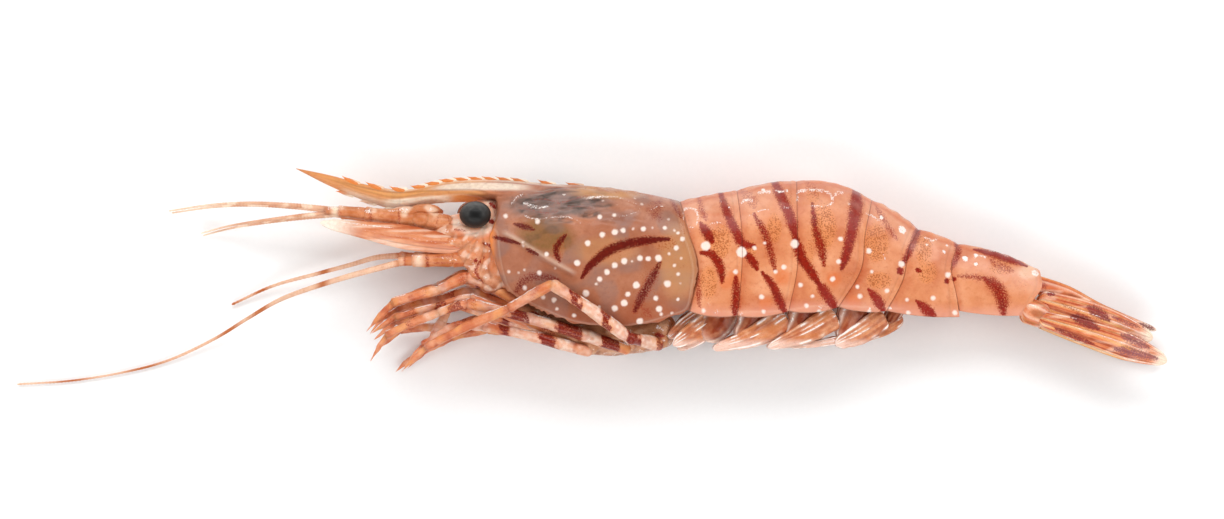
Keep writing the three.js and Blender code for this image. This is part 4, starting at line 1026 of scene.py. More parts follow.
margin, _ = side_distance(points, curved(MARGIN))
lower_rim = fade(0.5, 1.3, margin) * fade(-1.0, 1.0, points[:, 1])
points = calmed(points, faces, RIM_ROUNDS, lower_rim)
middle = midplane(points[:, 0])
flank = smooth(0.6, 1.6, np.abs(points[:, 2] - middle))
side_of_blade = smooth(0.2, 0.7, np.abs(points[:, 2] - middle))
margin, _ = side_distance(points, curved(MARGIN))
push = (0.2 * line_at(points, BROW_LINE, 0.35) + 0.12 * line_at(points, RIDGE_LINE, 0.22)) * side_of_blade
cheek, groove = line_at(points, CHEEK_LINE, 0.4), line_at(points, below(CHEEK_LINE, 0.9), 0.4)
push += (0.2 * cheek - 0.14 * groove) * flank
push += (0.04 * hump(margin, 0.3, 0.2) - 0.05 * hump(margin, 0.8, 0.2)) * flank
loose = smooth(8.0, 9.5, points[:, 1]) * smooth(-15.5, -13, points[:, 0]) * fade(7, 11, points[:, 0]) * flank
creased = most(points, line_at, [(line, 0.22) for line in WRINKLES])
push += (0.11 * waves(points, 2.6, 3) - 0.2 * creased) * loose
push += 0.03 * waves(points, 4.0, 4) * flank
film = most(points, line_at, GLINT_LINES)
beads = dots_at(points, GLINT_BEADS)
points = pushed(points, faces, push + (0.08 * film + 0.1 * smooth(0.4, 0.7, beads)) * flank)

# %% [markdown]
# The blade's teeth lean forward like a saw's. Each is a short curved spike on the ridge, added last so that
# it stays sharp. The front of the blade is too thin for the remesh, so it is its own skin, and its rear end
# is buried in the melted part.

# %% Teeth and the thin front of the blade
# first x, spacing and number of teeth in each row
TOOTH_ROWS = [[-3.6, 4.7, 3], [-15.4, 2.4, 7], [-33.3, 4.0, 3]]
KEEL_TOOTH_ROWS = [[-34.5, 3.9, 3]]
TOOTH_PATH = [[1.9, -0.6], [0.5, -0.1], [-0.9, 0.5]]
TOOTH_HALF, TOOTH_DEEP = [0.3, 0.24, 0.05], [0.6, 0.47, 0.05]
CREST_PATH = [[2.4, -0.2], [1.0, -0.05], [-0.75, 0.3]]
CREST_HALF, CREST_DEEP = [0.12, 0.14, 0.05], [0.4, 0.42, 0.1]


def spike(x, knots, up, path, half, deep):
    """A part that stands on the edge of the blade at x and leans forward."""
    path = [[x + a, float(along(knots, x + a)) + up * b, BODY_REST] for a, b in path]
    return sweep(path, half, deep, ends=(0.4, 0), sides=14, step=0.12, point=0.45)[0]


teeth, crests = [], []
for rows, knots, up in ((TOOTH_ROWS, RIDGE, 1), (KEEL_TOOTH_ROWS, KEEL, -1)):
    for first, gap, count in rows:
        places = [first - gap * i for i in range(count)]
        teeth += [spike(x, knots, up, TOOTH_PATH, TOOTH_HALF, TOOTH_DEEP) for x in places]
        crests += [spike(x, knots, up, CREST_PATH, CREST_HALF, CREST_DEEP) for x in places]
front_blade = skin(blade_rings(np.arange(BLADE_TIP, BLADE_SPLIT, 0.2)))
shell = [(points, faces), front_blade, *crests]
shell_points = sum(len(part[0]) for part in shell)
clear_points = shell_points - sum(len(part[0]) for part in crests)
points, faces = joined([*shell, *teeth])
laid(points)
at = np.arange(len(points))
is_tooth = at >= shell_points
is_crest = (at >= clear_points) & ~is_tooth
print("teeth:", len(teeth))

# %% [markdown]
# The carapace is where the inside shows: a grey-lilac stomach under the back, an olive liver behind the
# cheek, tan gills at the rear. The blade has its own plan, orange at the point, cream along its middle and
# brown at the teeth.

# %% Carapace colours and piece
STOMACH_SHADE = [
    (-8.7, 12.8, 3.0, 1.2, 0.1), (-6.3, 14.1, 2.5, 0.7, 0.1), (-3.0, 11.4, 2.8, 1.2, 0.15),
    (-0.4, 10.5, 2.0, 0.9, 0.1), (-12.0, 12.2, 1.6, 0.8, 0.4), (1.6, 12.2, 2.2, 0.7, -0.1),
    (-10.0, 10.4, 2.0, 0.6, -0.2), (-4.6, 9.4, 1.6, 0.5, -0.2),
]
x, y = points[:, 0], points[:, 1]
pigment, purple = stripes_at(points, CARAPACE_STRIPES)
on_body = smooth(-18, -15.5, x)
blade = fade(-17.5, -14.5, x)
held = np.clip(x, BLADE_TIP, RIDGE[-1][0])
top, bottom = along(RIDGE, held), along(KEEL, held)
down = (top - y) / np.maximum(top - bottom, 0.3)
ridge_gap = top - y
margin, _ = side_distance(points, curved(MARGIN))
stomach = patch_at(points, -5.5, 12.3, 9.5, 2.7, 0.05) * on_body
liver = patch_at(points, -7.6, 6.8, 5.2, 3.3, -0.12) * on_body
brow = line_at(points, BROW_LINE, 0.2)
brow_top = np.interp(x, *np.array(BROW_LINE[:6]).T)
cream = smooth(14.2, 14.7, y) * smooth(0.45, 0.8, ridge_gap) * smooth(-29, -24, x) * fade(-13, -9, x)
under_brow = smooth(0.1, 0.5, brow_top - y) * fade(-17, -15.6, x)
over_eye = under_brow * smooth(-25, -22.5, x)
crest = fade(0.25, 0.6, ridge_gap) * fade(-8, -2, x) * smooth(-36, -33, x)
tooth_foot = hump(ridge_gap, 0.5, 0.2) * smooth(-38, -33, x) * fade(-6, 0, x) * ~is_tooth
sawn = 0.6 * is_tooth + 0.75 * tooth_foot
ridge_line = line_at(points, RIDGE_LINE, 0.16)
wrinkle = most(points, line_at, [(line, 0.2) for line in WRINKLES])
smoke = 0.3 + 0.7 * smooth(-0.3, 0.4, waves(points * [0.5, 1.3, 1.0], 1.5, 9))
mire = smooth(0.0, 0.6, waves(points * [0.45, 1.4, 1.0], 1.7, 12))
clouded = 0.42 * smooth(-0.1, 0.8, waves(points, 5.0, 41)) * on_body
shade = 0.75 * smoke * most(points, patch_at, STOMACH_SHADE) + mire * (0.5 * stomach + 0.25 * liver)
tan = 0.8 * patch_at(points, 3, 14.2, 7, 1.4) + 0.55 * patch_at(points, 14.5, 2.5, 3.5, 7)
tan += 0.4 * patch_at(points, 2.5, 4.2, 6, 2.6)
rust = 0.45 * fade(-8, -1.5, y) * on_body + 0.5 * patch_at(points, -11.0, -3.1, 2.6, 1.8) + 0.8 * sawn
blade_orange = (0.34 - 0.3 * smooth(0.5, 0.8, down) * smooth(-43, -40, x)) * blade * (1 - cream)
gold = (0.62 + 0.3 * hump(down, 0.3, 0.1)) * (0.55 + 0.45 * smooth(-50, -42, x)) * blade
gold *= fade(-20, -16.5, x) * (1 - cream) * ~is_tooth
pale = 0.75 * cream + 0.55 * is_crest + 0.5 * crest * ~is_tooth
pale += 0.75 * under_brow * (1 - over_eye) * (down < 1.1) * smooth(-36, -33, x)
pale += 0.55 * smooth(0.55, 0.8, down) * smooth(-43, -40, x) * fade(-34, -30, x)
# the pale cheek line on the next line is a painted highlight along the ridge
pale += 0.12 * hump(margin, 0.9, 0.14) * on_body + 0.3 * line_at(points, CHEEK_LINE, 0.35)
seam = 0.3 * (hump(down, 0.4, 0.06) + hump(down, 0.6, 0.06)) * smooth(-46, -42, x) * fade(-30, -24, x) * blade
seam += 0.45 * ridge_line * ~is_tooth + 0.4 * brow * (0.5 + 0.5 * smooth(-21, -18, x))
# the dark line under the cheek line is painted shadow in the groove
seam += 0.12 * hump(margin, 1.15, 0.14) * on_body + 0.25 * line_at(points, below(CHEEK_LINE, 0.95), 0.35)
# painted light: white highlight lines and beads, a painted white sheen over the stomach, and a painted
# pinkish sheen over the stomach and the upper rear of the shell
make_piece(
    "carapace", "carapace_shell", CARAPACE_SHELL, points, faces, tan=tan, gold=gold, olive=0.75 * liver,
    pigment=np.maximum(pigment * on_body, 0.5 * wrinkle * stomach),
    purple=np.maximum(purple, 0.3 * wrinkle * stomach),
    stipple=stippled(points, STIPPLE) * on_body, dot=dots_at(points, CARAPACE_DOTS),
    film=glints_and_sheen(most(points, line_at, GLINT_LINES), stomach, dots_at(points, GLINT_BEADS)),
    veil=(0.45 * stomach * (1 - 0.5 * smoke) + 0.45 * patch_at(points, 9, 11.5, 6, 3)) * on_body,
    lilac=np.maximum(0.9 * stomach, clouded), shade=np.clip(shade, 0, 1) * on_body,
    orange=np.clip(0.7 * is_tooth + 0.25 * is_crest + blade_orange + 0.9 * over_eye, 0, 1),
    rust=np.clip(rust, 0, 1), pale=np.clip(pale, 0, 1), seam=np.clip(seam, 0, 1),
)

# %% [markdown]
# ## The head
# Between the shell and the mouth the head is a knot of small hard plates and soft skin: the walls of the eye
# sockets, the bases of the feelers, the lip and the jaws. It is built as lumps that overlap, melted together
# and relaxed, and the creases between the plates are pressed in afterwards.

# %% Head
HEAD = {
    "front": [[-25.4, 9.8], [-26.6, 7.2], [-25.4, 3.8], [-21.4, 1.3]],
    "rear": [[-15.2, 11.7], [-16.3, 7.4], [-15.7, 3.4], [-13.9, -2.3]],
    "back": 0.2, "belly": 0.2, "half_width": [3.4, 4.6, 5.4],
}
HEAD_LENGTH, HEAD_EDGE = 9.5, 1.2
HEAD_MELT, HEAD_RELAX = 0.195, 4
SOCKET, SOCKET_RADII = (-17.4, 10.6, BODY_REST), (3.0, 2.9, 3.7)
# plates of the face on each side: x, y, distance from the middle, radii
FACE_PLATES = [
    (-20.2, 3.4, 4.1, 2.5, 2.0, 1.6), (-22.6, 5.6, 3.6, 2.4, 1.2, 1.4), (-18.4, 0.6, 4.1, 2.2, 1.7, 1.5),
    (-20.6, 7.6, 3.4, 2.4, 1.1, 1.5), (-19.6, -0.6, 2.6, 2.0, 1.5, 1.6), (-16.8, -1.4, 3.6, 2.2, 1.6, 1.6),
    (-17.0, 6.0, 4.6, 1.6, 2.6, 1.3), (-17.2, 9.2, 3.6, 1.2, 2.6, 1.5), (-23.6, 7.6, 2.6, 1.8, 0.9, 1.2),
]
CREASES = [
    [(-18.6, 7.4), (-22.4, 6.7), (-25.8, 6.6)], [(-18.6, 7.2), (-22.0, 4.6), (-24.6, 4.2)],
    [(-18.8, 6.8), (-20.6, 3.6), (-21.8, 1.6)], [(-18.2, 6.6), (-18.2, 3.0), (-19.0, 0.2)],
    [(-17.6, 8.2), (-21.4, 8.7), (-24.6, 8.8)], [(-16.6, 4.9), (-17.2, 2.0), (-16.6, -0.8)],
    [(-19.9, 4.5), (-20.6, 3.6), (-21.3, 2.9)], [(-20.8, -0.2), (-18.6, -1.0), (-16.4, -2.4)],
]
FACE_MARKS = [
    ([(-18.2, 5.5), (-17.5, 5.3), (-16.9, 4.9)], (0.12, 0.2, 0.12), 0.8, 0),
    ([(-16.4, 4.9), (-16.0, 4.0)], (0.2, 0.15), 0.8, 0),
    ([(-19.5, 2.65), (-19.3, 2.55)], (0.3, 0.3), 0.9, 0),
    ([(-17.1, 9.3), (-16.4, 9.0)], (0.35, 0.3), 0.85, 0.1),
    ([(-17.0, 12.2), (-15.9, 11.4)], (0.3, 0.3), 0.85, 0.1),
    ([(-18.0, 3.2), (-19.4, 1.0), (-18.2, -1.2)], (0.1, 0.2, 0.1), 0.7, 0),
    ([(-19.3, -1.6), (-18.6, -3.0)], (0.25, 0.25), 0.85, 0),
    ([(-23.0, 7.8), (-21.0, 7.6)], (0.1, 0.15), 0.6, 0),
]


def lump(centre, radii, rings=18, sides=28):
    """A closed egg shape."""
    polar = np.linspace(0, math.pi, rings + 2)[1:-1, None]
    turn = np.linspace(0, 2 * math.pi, sides, endpoint=False)[None]
    height = np.broadcast_to(np.cos(polar), (rings, sides))
    unit = np.stack([np.sin(polar) * np.cos(turn), np.sin(polar) * np.sin(turn), height], -1)
    centre, radii = np.array(centre, float), np.array(radii, float)
    return skin(unit * radii + centre, centre + radii * [0, 0, 1], centre - radii * [0, 0, 1])


def flat_cut(half=24, bridge=10):
    """A plain closed section with no flaps."""
    height, width = arch(half, half)
    across = np.linspace(1, -1, bridge + 2)[1:-1]
    ones = np.ones(len(height))
    return (
        np.r_[0, height, np.ones(bridge), height[::-1]],
        np.r_[0, width, np.full(bridge, width[-1]), width[::-1]],
        np.zeros(2 * len(height) + bridge + 1),
        np.r_[0, ones, across, -ones],
    )


u = np.linspace(0, 1, 40)
lumps = [skin(plate(HEAD, u, rounded(u * HEAD_LENGTH, HEAD_EDGE), flat_cut())), lump(SOCKET, SOCKET_RADII)]
for side, _ in SIDES:
    lumps += [lump((a, b, BODY_REST + side * out), radii) for a, b, out, *radii in FACE_PLATES]
points, faces = fused(lumps, HEAD_MELT, HEAD_RELAX)
crease = most(points, line_at, [(line, 0.2) for line in CREASES])
flank = smooth(0.8, 2.0, np.abs(points[:, 2] - BODY_REST))
points = pushed(points, faces, 0.08 * waves(points, 2.0, 8) - 0.16 * crease * flank)
laid(points)
pigment, purple = stripes_at(points, FACE_MARKS)
x, y = points[:, 0] - EYES["left"][0], points[:, 1] - EYES["left"][1]
socket_wall = hump(np.hypot(x / 1.15, y), 3.1, 0.7)
# painted light: patches of painted highlight on the flanks of the face, and the pressed creases darkened with
# painted shade
make_piece(
    "head", "flesh_skin", HEAD_SKIN, points, faces, pigment=pigment, purple=purple, stipple=0.3,
    rust=0.45 * fade(-2.5, 0.5, points[:, 1]) + 0.4 * patch_at(points, -17.4, 2.0, 1.4, 2.2),
    orange=0.4 * smooth(0.2, 0.8, waves(points, 2.6, 6)) + 0.8 * hump(np.hypot(x, y), 4.2, 0.6),
    pale=np.clip(0.8 * socket_wall + 0.6 * smooth(0.1, 0.9, waves(points, 1.8, 5)), 0, 1),
    film=0.7 * smooth(0.55, 0.9, waves(points, 1.1, 7)) * flank, seam=0.3 * crease * flank,
)

# %% [markdown]
# ## The chest
# The underside of the chest is a narrow keel of brown skin between the two gill covers. Each leg leaves it
# from a short stout hip, so the hips are melted into it here.

# %% Limb joints, from the hip to the tip
LIMBS = {
    "maxilliped_left": ([[-11.6, -4.6, 12.0], [-20.9, -0.1, 12.5], [-25.5, -2.3, 12.3], [-33.3, -4.4, 11.6],
                         [-37.9, -9.4, 10.9]], [0.95, 1.0, 0.9, 0.55]),
    "leg_1_left": ([[-9.5, -7.4, 10.9], [-19.9, -2.2, 10.3], [-25.8, -3.9, 10.1], [-32.6, -5.6, 9.9],
                    [-37.0, -8.4, 9.3]], [0.75, 0.7, 0.65, 0.45]),
    "leg_2_left": ([[-5.3, -10.2, 11.8], [-20.3, -3.6, 12.2], [-26.1, -5.2, 12.3], [-32.8, -7.0, 11.4],
                    [-37.4, -9.9, 10.2]], [0.8, 0.75, 0.7, 0.45]),
    "leg_3_left": ([[-0.3, -12.8, 12.4], [-18.2, -8.4, 13.6], [-22.6, -8.2, 13.0], [-28.2, -11.6, 11.4],
                    [-31.9, -16.2, 10.2]], [1.0, 0.85, 0.8, 0.45]),
    "leg_4_left": ([[6.1, -12.4, 13.0], [-20.7, -4.5, 15.0], [-25.5, -6.1, 14.4], [-34.4, -9.9, 12.4],
                    [-37.2, -14.4, 11.0]], [1.05, 0.85, 0.75, 0.45]),
    "leg_5_left": ([[11.4, -11.6, 12.8], [6.3, -10.4, 17.6], [-6.5, -1.4, 18.5], [-13.7, -5.4, 17.8],
                    [-27.6, -11.9, 14.4], [-32.0, -16.1, 12.6]], [1.15, 1.15, 0.95, 0.85, 0.5]),
    "maxilliped_right": ([[-12.0, -4.6, 5.0], [-21.3, 0.3, 4.7], [-25.9, -1.9, 4.9], [-33.6, -4.9, 5.4],
                          [-37.5, -9.9, 5.8]], [0.95, 1.0, 0.9, 0.55]),
    "leg_1_right": ([[-9.2, -7.7, 7.6], [-19.3, -2.6, 8.2], [-25.2, -4.4, 8.2], [-31.6, -6.0, 8.1],
                     [-36.2, -8.8, 7.8]], [0.75, 0.7, 0.65, 0.45]),
    "leg_2_right": ([[-5.6, -10.5, 7.0], [-20.9, -4.2, 7.0], [-26.6, -5.9, 6.6], [-33.0, -7.8, 6.2],
                     [-37.0, -11.0, 5.4]], [0.8, 0.75, 0.7, 0.45]),
    "leg_3_right": ([[-0.6, -12.9, 5.8], [-23.9, -4.4, 5.0], [-25.2, -7.6, 5.0], [-27.4, -12.0, 4.8],
                     [-31.2, -15.7, 4.2]], [1.0, 0.9, 0.95, 0.45]),
    "leg_4_right": ([[6.3, -12.5, 4.4], [-18.6, -7.3, 3.0], [-23.4, -8.6, 3.0], [-32.4, -9.2, 2.4],
                     [-36.6, -12.8, 1.6]], [1.05, 0.85, 0.75, 0.45]),
    "leg_5_right": ([[11.2, -11.6, 4.6], [5.6, -11.9, 1.9], [-17.6, -9.0, 1.2], [-23.8, -10.4, 1.2],
                     [-30.0, -13.6, 1.0], [-33.4, -16.4, 0.8]], [1.05, 1.0, 0.85, 0.75, 0.5]),
}

# %% Chest
CHEST_LINE = [[-14.2, -3.2], [-6, -8.6], [3, -10.2], [14.2, -8.6]]
CHEST_WIDE, CHEST_DEEP = [3.2, 4.2, 4.8, 4.4], [1.6, 2.8, 3.2, 3.2]
HIP_BACK, HIP_UP, HIP_IN, HIP_FLARE = 0.6, 2.2, 0.45, (1.5, 1.15)
CHEST_MELT, CHEST_RELAX = 0.24, 2
CHEST_MARKS = [
    ([(-10.3, -6.4), (-8.9, -6.6)], (0.4, 0.35), 0.85, 0.1),
    ([(-8.0, -7.2), (-7.6, -7.4)], (0.35, 0.3), 0.85, 0.1),
    ([(-3.4, -9.0), (-2.6, -9.4)], (0.4, 0.3), 0.8, 0.1),
    ([(0.0, -10.2), (1.0, -10.3)], (0.35, 0.3), 0.8, 0.1),
    ([(3.2, -11.0), (4.4, -11.2)], (0.35, 0.3), 0.8, 0.1),
    ([(10.8, -9.8), (12.0, -10.1)], (0.35, 0.3), 0.8, 0.1),
]
keel = sweep([[a, b, BODY_REST] for a, b in CHEST_LINE], CHEST_WIDE, CHEST_DEEP, ends=(2.5, 2.5), sides=40)[0]
hips = []
for joints, radii in LIMBS.values():
    hip = np.array(joints[0])
    root = np.array([hip[0] + HIP_BACK, hip[1] + HIP_UP, BODY_REST + (hip[2] - BODY_REST) * HIP_IN])
    hips.append(sweep([root, hip], [radii[0] * share for share in HIP_FLARE], ends=(1, 0.7), step=0.25)[0])
points, faces = fused([keel, *hips], CHEST_MELT, CHEST_RELAX)
points = pushed(points, faces, 0.08 * waves(points, 2.0, 21))
pigment, purple = stripes_at(points, CHEST_MARKS)
# painted light: scattered patches of painted highlight
make_piece(
    "chest", "flesh_skin", CHEST_SKIN, points, faces, pigment=pigment, purple=purple, stipple=0.5,
    rust=0.45 * smooth(0.1, 0.8, waves(points, 2.6, 23)), pale=0.5 * smooth(0.2, 0.9, waves(points, 2.2, 24)),
    film=0.75 * smooth(0.55, 0.9, waves(points, 1.6, 25)),
)

# %% [markdown]
# ## Legs
# A leg is a chain of hard tubes joined by soft skin. Each tube is narrow where it leaves the joint before,
# swells, tapers, and flares a little at its end, and the last one is a claw. The upper segments are banded
# dark red and white; the lower ones are plain orange. A highlight is painted along the upper side of each,
# where it faces the lamp behind the back.

# %% Leg bands: from x to x, and how dark, or white when negative
LEG_BANDS = {
    "leg_5": [
        (12.6, 14.4, 0.95), (10.9, 12.2, 0.85), (8.2, 10.9, -0.95), (6.0, 8.2, 0.97), (3.4, 6.0, -0.95),
        (1.8, 3.4, 0.97), (-1.6, 1.8, -0.9), (-3.6, -1.6, 0.95), (-6.6, -3.6, -0.5), (-10.2, -8.8, 0.4),
        (-13.0, -9.0, -0.25), (-15.0, -13.4, 0.45),
    ],
    "leg_4": [
        (1.6, 4.8, 0.97), (-1.6, 1.6, -0.95), (-6.0, -1.6, 0.95), (-11.2, -6.0, -0.7),
        (-14.0, -10.5, 0.95), (-19.0, -14.2, -0.3), (-20.6, -19.0, 0.55), (-24.1, -21.4, 0.8),
        (-28.0, -24.4, -0.45), (-31.5, -30.0, 0.6),
    ],
    "leg_3": [
        (-2.2, 1.0, -0.5), (-5.8, -2.8, -0.9), (-8.7, -5.8, 0.97), (-13.6, -8.7, -0.75),
        (-15.4, -13.7, 0.95), (-20.0, -17.1, -0.6), (-22.4, -20.6, 0.6), (-27.2, -24.0, -0.6),
        (-29.0, -27.6, 0.5),
    ],
    "leg_2": [
        (-9.0, -6.0, 0.6), (-26.2, -24.7, 0.9), (-16.4, -14.0, 0.5), (-22.6, -20.0, -0.5),
        (-30.8, -29.4, 0.6), (-29.2, -26.6, -0.45), (-34.4, -33.2, 0.5),
    ],
    "leg_1": [
        (-24.0, -22.6, 0.7), (-14.0, -12.0, 0.4), (-21.6, -19.0, -0.5), (-30.4, -29.2, 0.5),
        (-29.0, -26.0, -0.35),
    ],
    "maxilliped": [
        (-22.4, -21.0, 0.6), (-29.0, -27.6, 0.5), (-20.4, -17.0, -0.5), (-27.0, -24.2, -0.4),
        (-34.4, -33.2, 0.5),
    ],
}
BAND_EDGE = 0.5
LIMB_STEP, LIMB_BOW = 0.22, 0.018
TUBE_SHAPE, CLAW_SHAPE = (0.8, 1.02, 0.94, 0.84), (0.9, 1.0, 0.45)


def limb(joints, radii, sides=24):
    """The tubes of one limb, from the hip out. Each bows up by a small share of its length."""
    skins = []
    for i, radius in enumerate(radii):
        a, b = np.array(joints[i], float), np.array(joints[i + 1], float)
        length = np.linalg.norm(b - a)
        reach = (b - a) / length * radius
        claw = i == len(radii) - 1
        path = [a - 0.5 * reach, (a + b) / 2 + [0, LIMB_BOW * length, 0], b if claw else b + 0.45 * reach]
        wide = [radius * share for share in (CLAW_SHAPE if claw else TUBE_SHAPE)]
        ends = (radius, 0)
        if not claw:
            wide.append(max(radius * 0.95, radii[i + 1] * 1.02))
            ends = (radius * 0.7, radius * 0.8)
        skins.append(sweep(path, wide, ends=ends, sides=sides, step=LIMB_STEP, point=0.5)[0])
    return skins


for name, (joints, radii) in LIMBS.items():
    points, faces = joined(limb(joints, radii))
    kind = name.rsplit("_", 1)[0]
    dark, white = np.zeros(len(points)), np.zeros(len(points))
    ragged = points[:, 0] + 0.35 * waves(points, 1.3, 31)
    for start, end, level in LEG_BANDS[kind]:
        begun = smooth(start - BAND_EDGE, start + BAND_EDGE, ragged)
        here = begun * fade(end - BAND_EDGE, end + BAND_EDGE, ragged)
        dark = np.maximum(dark, level * here)
        white = np.maximum(white, -level * here)
    at_joint = np.zeros(len(points))
    for joint in joints[1:-1]:
        at_joint = np.maximum(at_joint, fade(0.3, 1.5, np.linalg.norm(points - joint, axis=1)))
    normals = normals_of(points, faces)
    # painted highlight: a streak where the skin faces the lamp behind the back and the camera, broken into
    # lengths
    lit_top = hump(normals[:, 1], 0.8, 0.16) * (normals[:, 2] > 0) * smooth(-0.25, 0.25, waves(points, 6.0, 35))
    points = pushed(points, faces, 0.04 * waves(points, 1.4, 33))
    laid(points, 0.02)
    mottled = 0.45 + 0.45 * smooth(-0.4, 0.7, waves(points, 1.1, 37))
    make_piece(
        name, "limb_skin", LEG_SHELL, points, faces, pigment=0.8 * dark, purple=0.05, stipple=0.3,
        rust=np.maximum(0.6 * at_joint, 0.5 * smooth(0.2, 0.9, waves(points, 3.0, 34))),
        gold=0.5 * smooth(0.1, 0.8, waves(points, 3.4, 36)), film=1.15 * lit_top * (1 - 0.5 * dark),
        pale=mottled * white, seam=0.5 * at_joint**3,
    )

# %% [markdown]
# ## Eyes
# Each eye is a dark globe on a short stalk. Its surface is thousands of tiny facets, so it looks dull grey,
# and black only where one looks straight into the facets. The half towards the back is painted a lighter
# grey, where the light falls. Where it meets the stalk there is a thin pale rim.

# %% Eye finish
# the facets are 0.03 mm on a real eye; drawn at 0.13 mm so that they can show at all
FACET, EYE_CLOUD = 0.13, 0.9
# dull faceted cornea: grey with a black centre, hardly any shine
EYE = blank_material("dull_faceted_cornea")
tree = EYE.node_tree
place = add(tree, "ShaderNodeTexCoord").outputs["Object"]
knobs = {"Vector": place, "Scale": PER_METRE / EYE_CLOUD, "Detail": 3.0}
cloud = add(tree, "ShaderNodeTexNoise", None, knobs)
knobs = {"Vector": place, "Scale": PER_METRE / FACET, "Randomness": 0.3}
facet = add(tree, "ShaderNodeTexVoronoi", CELLS, knobs)
amount = {"cloud": cloud.outputs["Fac"]}
for key in ("rim", "pupil", "light"):
    amount[key] = add(tree, "ShaderNodeAttribute", {"attribute_name": key}).outputs["Fac"]
# grey where light falls on the facets, then clouds, the black centre and the pale rim over it
tone = hex_colour("#262422")
for key, above in (("light", "#6A6866"), ("cloud", "#1E1B1A"), ("pupil", "#030202"), ("rim", "#D9A38C")):
    knobs = {0: amount[key], MIX_A: tone, MIX_B: hex_colour(above)}
    tone = add(tree, "ShaderNodeMix", COLOUR, knobs).outputs[MIX_OUT]
bumped = add(tree, "ShaderNodeBump", None, {
    "Strength": 0.2, "Distance": 0.03 * MM, "Height": facet.outputs["Distance"],
})
shader = add(tree, "ShaderNodeBsdfPrincipled", None, {
    "Base Color": tone, "Roughness": 0.5, "IOR": 1.33, "Normal": bumped.outputs["Normal"],
    "Coat Weight": 0.2, "Coat Roughness": 0.15, "Coat IOR": 1.33,
})
add(tree, "ShaderNodeOutputMaterial", None, {"Surface": shader.outputs["BSDF"]})
print("eye finish:", EYE.name)

# %% Eyes
STALK_ROOT, STALK_BEND, STALK_HALF = (-18.6, 9.9, 0.9), (-18.9, 10.2, 3), [1.1, 1.2, 1.5]
COLLAR_DROP, COLLAR_HALF, COLLAR_SWELL = 1.0, 0.26, 1.035
PUPIL_RADIUS, PUPIL_EDGE = 0.85, 0.5


def collar_ring(centre, side, sides=64, rounds=12):
    """The thin rim where the cornea meets the stalk, a closed ring round the globe."""
    turns = np.linspace(0, 2 * math.pi, sides, endpoint=False)
    loops = []
    for turn in np.linspace(0, 2 * math.pi, rounds, endpoint=False):
        lift = -COLLAR_DROP * side + COLLAR_HALF * math.sin(turn)
        share = math.sqrt(1 - (lift / EYE_RADII[2]) ** 2) * COLLAR_SWELL + 0.04 * math.cos(turn)
        x = centre[0] + EYE_RADII[0] * share * np.cos(turns)
        y = centre[1] + EYE_RADII[1] * share * np.sin(turns)
        loops.append(np.stack([x, y, np.full(sides, centre[2] + lift)], -1))
    grid = np.arange(rounds * sides).reshape(rounds, sides)
    after = np.roll(grid, -1, 0)
    faces = np.stack([grid, np.roll(grid, -1, 1), np.roll(after, -1, 1), after], -1).reshape(-1, 4).tolist()
    points = np.array(loops).reshape(-1, 3)
    return points, facing_out(points, faces)


for side, word in SIDES:
    centre = EYES[word]
    bend = [[a, b, BODY_REST + side * out] for a, b, out in (STALK_ROOT, STALK_BEND)]
    stalk = sweep([*bend, centre], STALK_HALF, sides=36, step=0.15)[0]
    points, faces = joined([lump(centre, EYE_RADII, 56, 80), stalk, collar_ring(centre, side)])
    outward = (points[:, 2] - centre[2]) * side
    from_axis = np.hypot(points[:, 0] - centre[0] - 0.1, points[:, 1] - centre[1])
    # painted light: the upper, outer part of the globe is painted a lighter grey
    light = smooth(-0.2, 1.0, (points[:, 1] - centre[1]) / EYE_RADII[1]) * smooth(0, 1.6, outward)
    make_piece(
        f"eye_{word}", "eye_black", EYE, points, faces, rim=fade(-1.25, -0.75, outward), light=light,
        pupil=fade(PUPIL_RADIUS, PUPIL_RADIUS + PUPIL_EDGE, from_axis) * (outward > 0),
    )

# %% [markdown]
# ## Feelers
# The small pair has a jointed stem and two whips; the long pair has a stouter stem, a broad scale beside it
# and one very long whip. A whip is made of hundreds of tiny rings, so its radius ripples, and it is banded
# orange and brown. The scale is a thin clear blade, stiffened by ribs that run its whole length.

# %% Feeler sizes
ANTENNULE_JOINTS = [
    [-23.9, 8.9, 10.5], [-32.2, 9.75, 10.5], [-37.8, 10.45, 10.5], [-42.4, 10.9, 10.5], [-44.4, 11, 10.3],
]
ANTENNULE_RADII = [1.5, 1.3, 1.05, 0.8]
ANTENNULE_TOP = [
    [-43.2, 11.2, 10.2], [-50, 11.9, 9.4], [-57.5, 12.3, 7.4], [-64.5, 12.0, 4.2], [-71.7, 11.0, 0.7],
]
ANTENNULE_LOW = [
    [-43.2, 10.7, 10.0], [-49.5, 10.1, 8.6], [-56, 9.3, 5.8], [-61.6, 8.4, 2.8], [-66.3, 7.2, 0.6],
]
ANTENNULE_OFFSET = (0.4, -0.35, 0)
ANTENNULE_KNOBS = np.array([[-28.7, 9.5, 11.2], [-31.2, 10.85, 10.4], [-28.0, 11.2, 10.3]])
KNOB_RADII = [(1.7, 1.25, 1.1), (2.6, 0.9, 1.2), (2.6, 0.95, 1.2)]
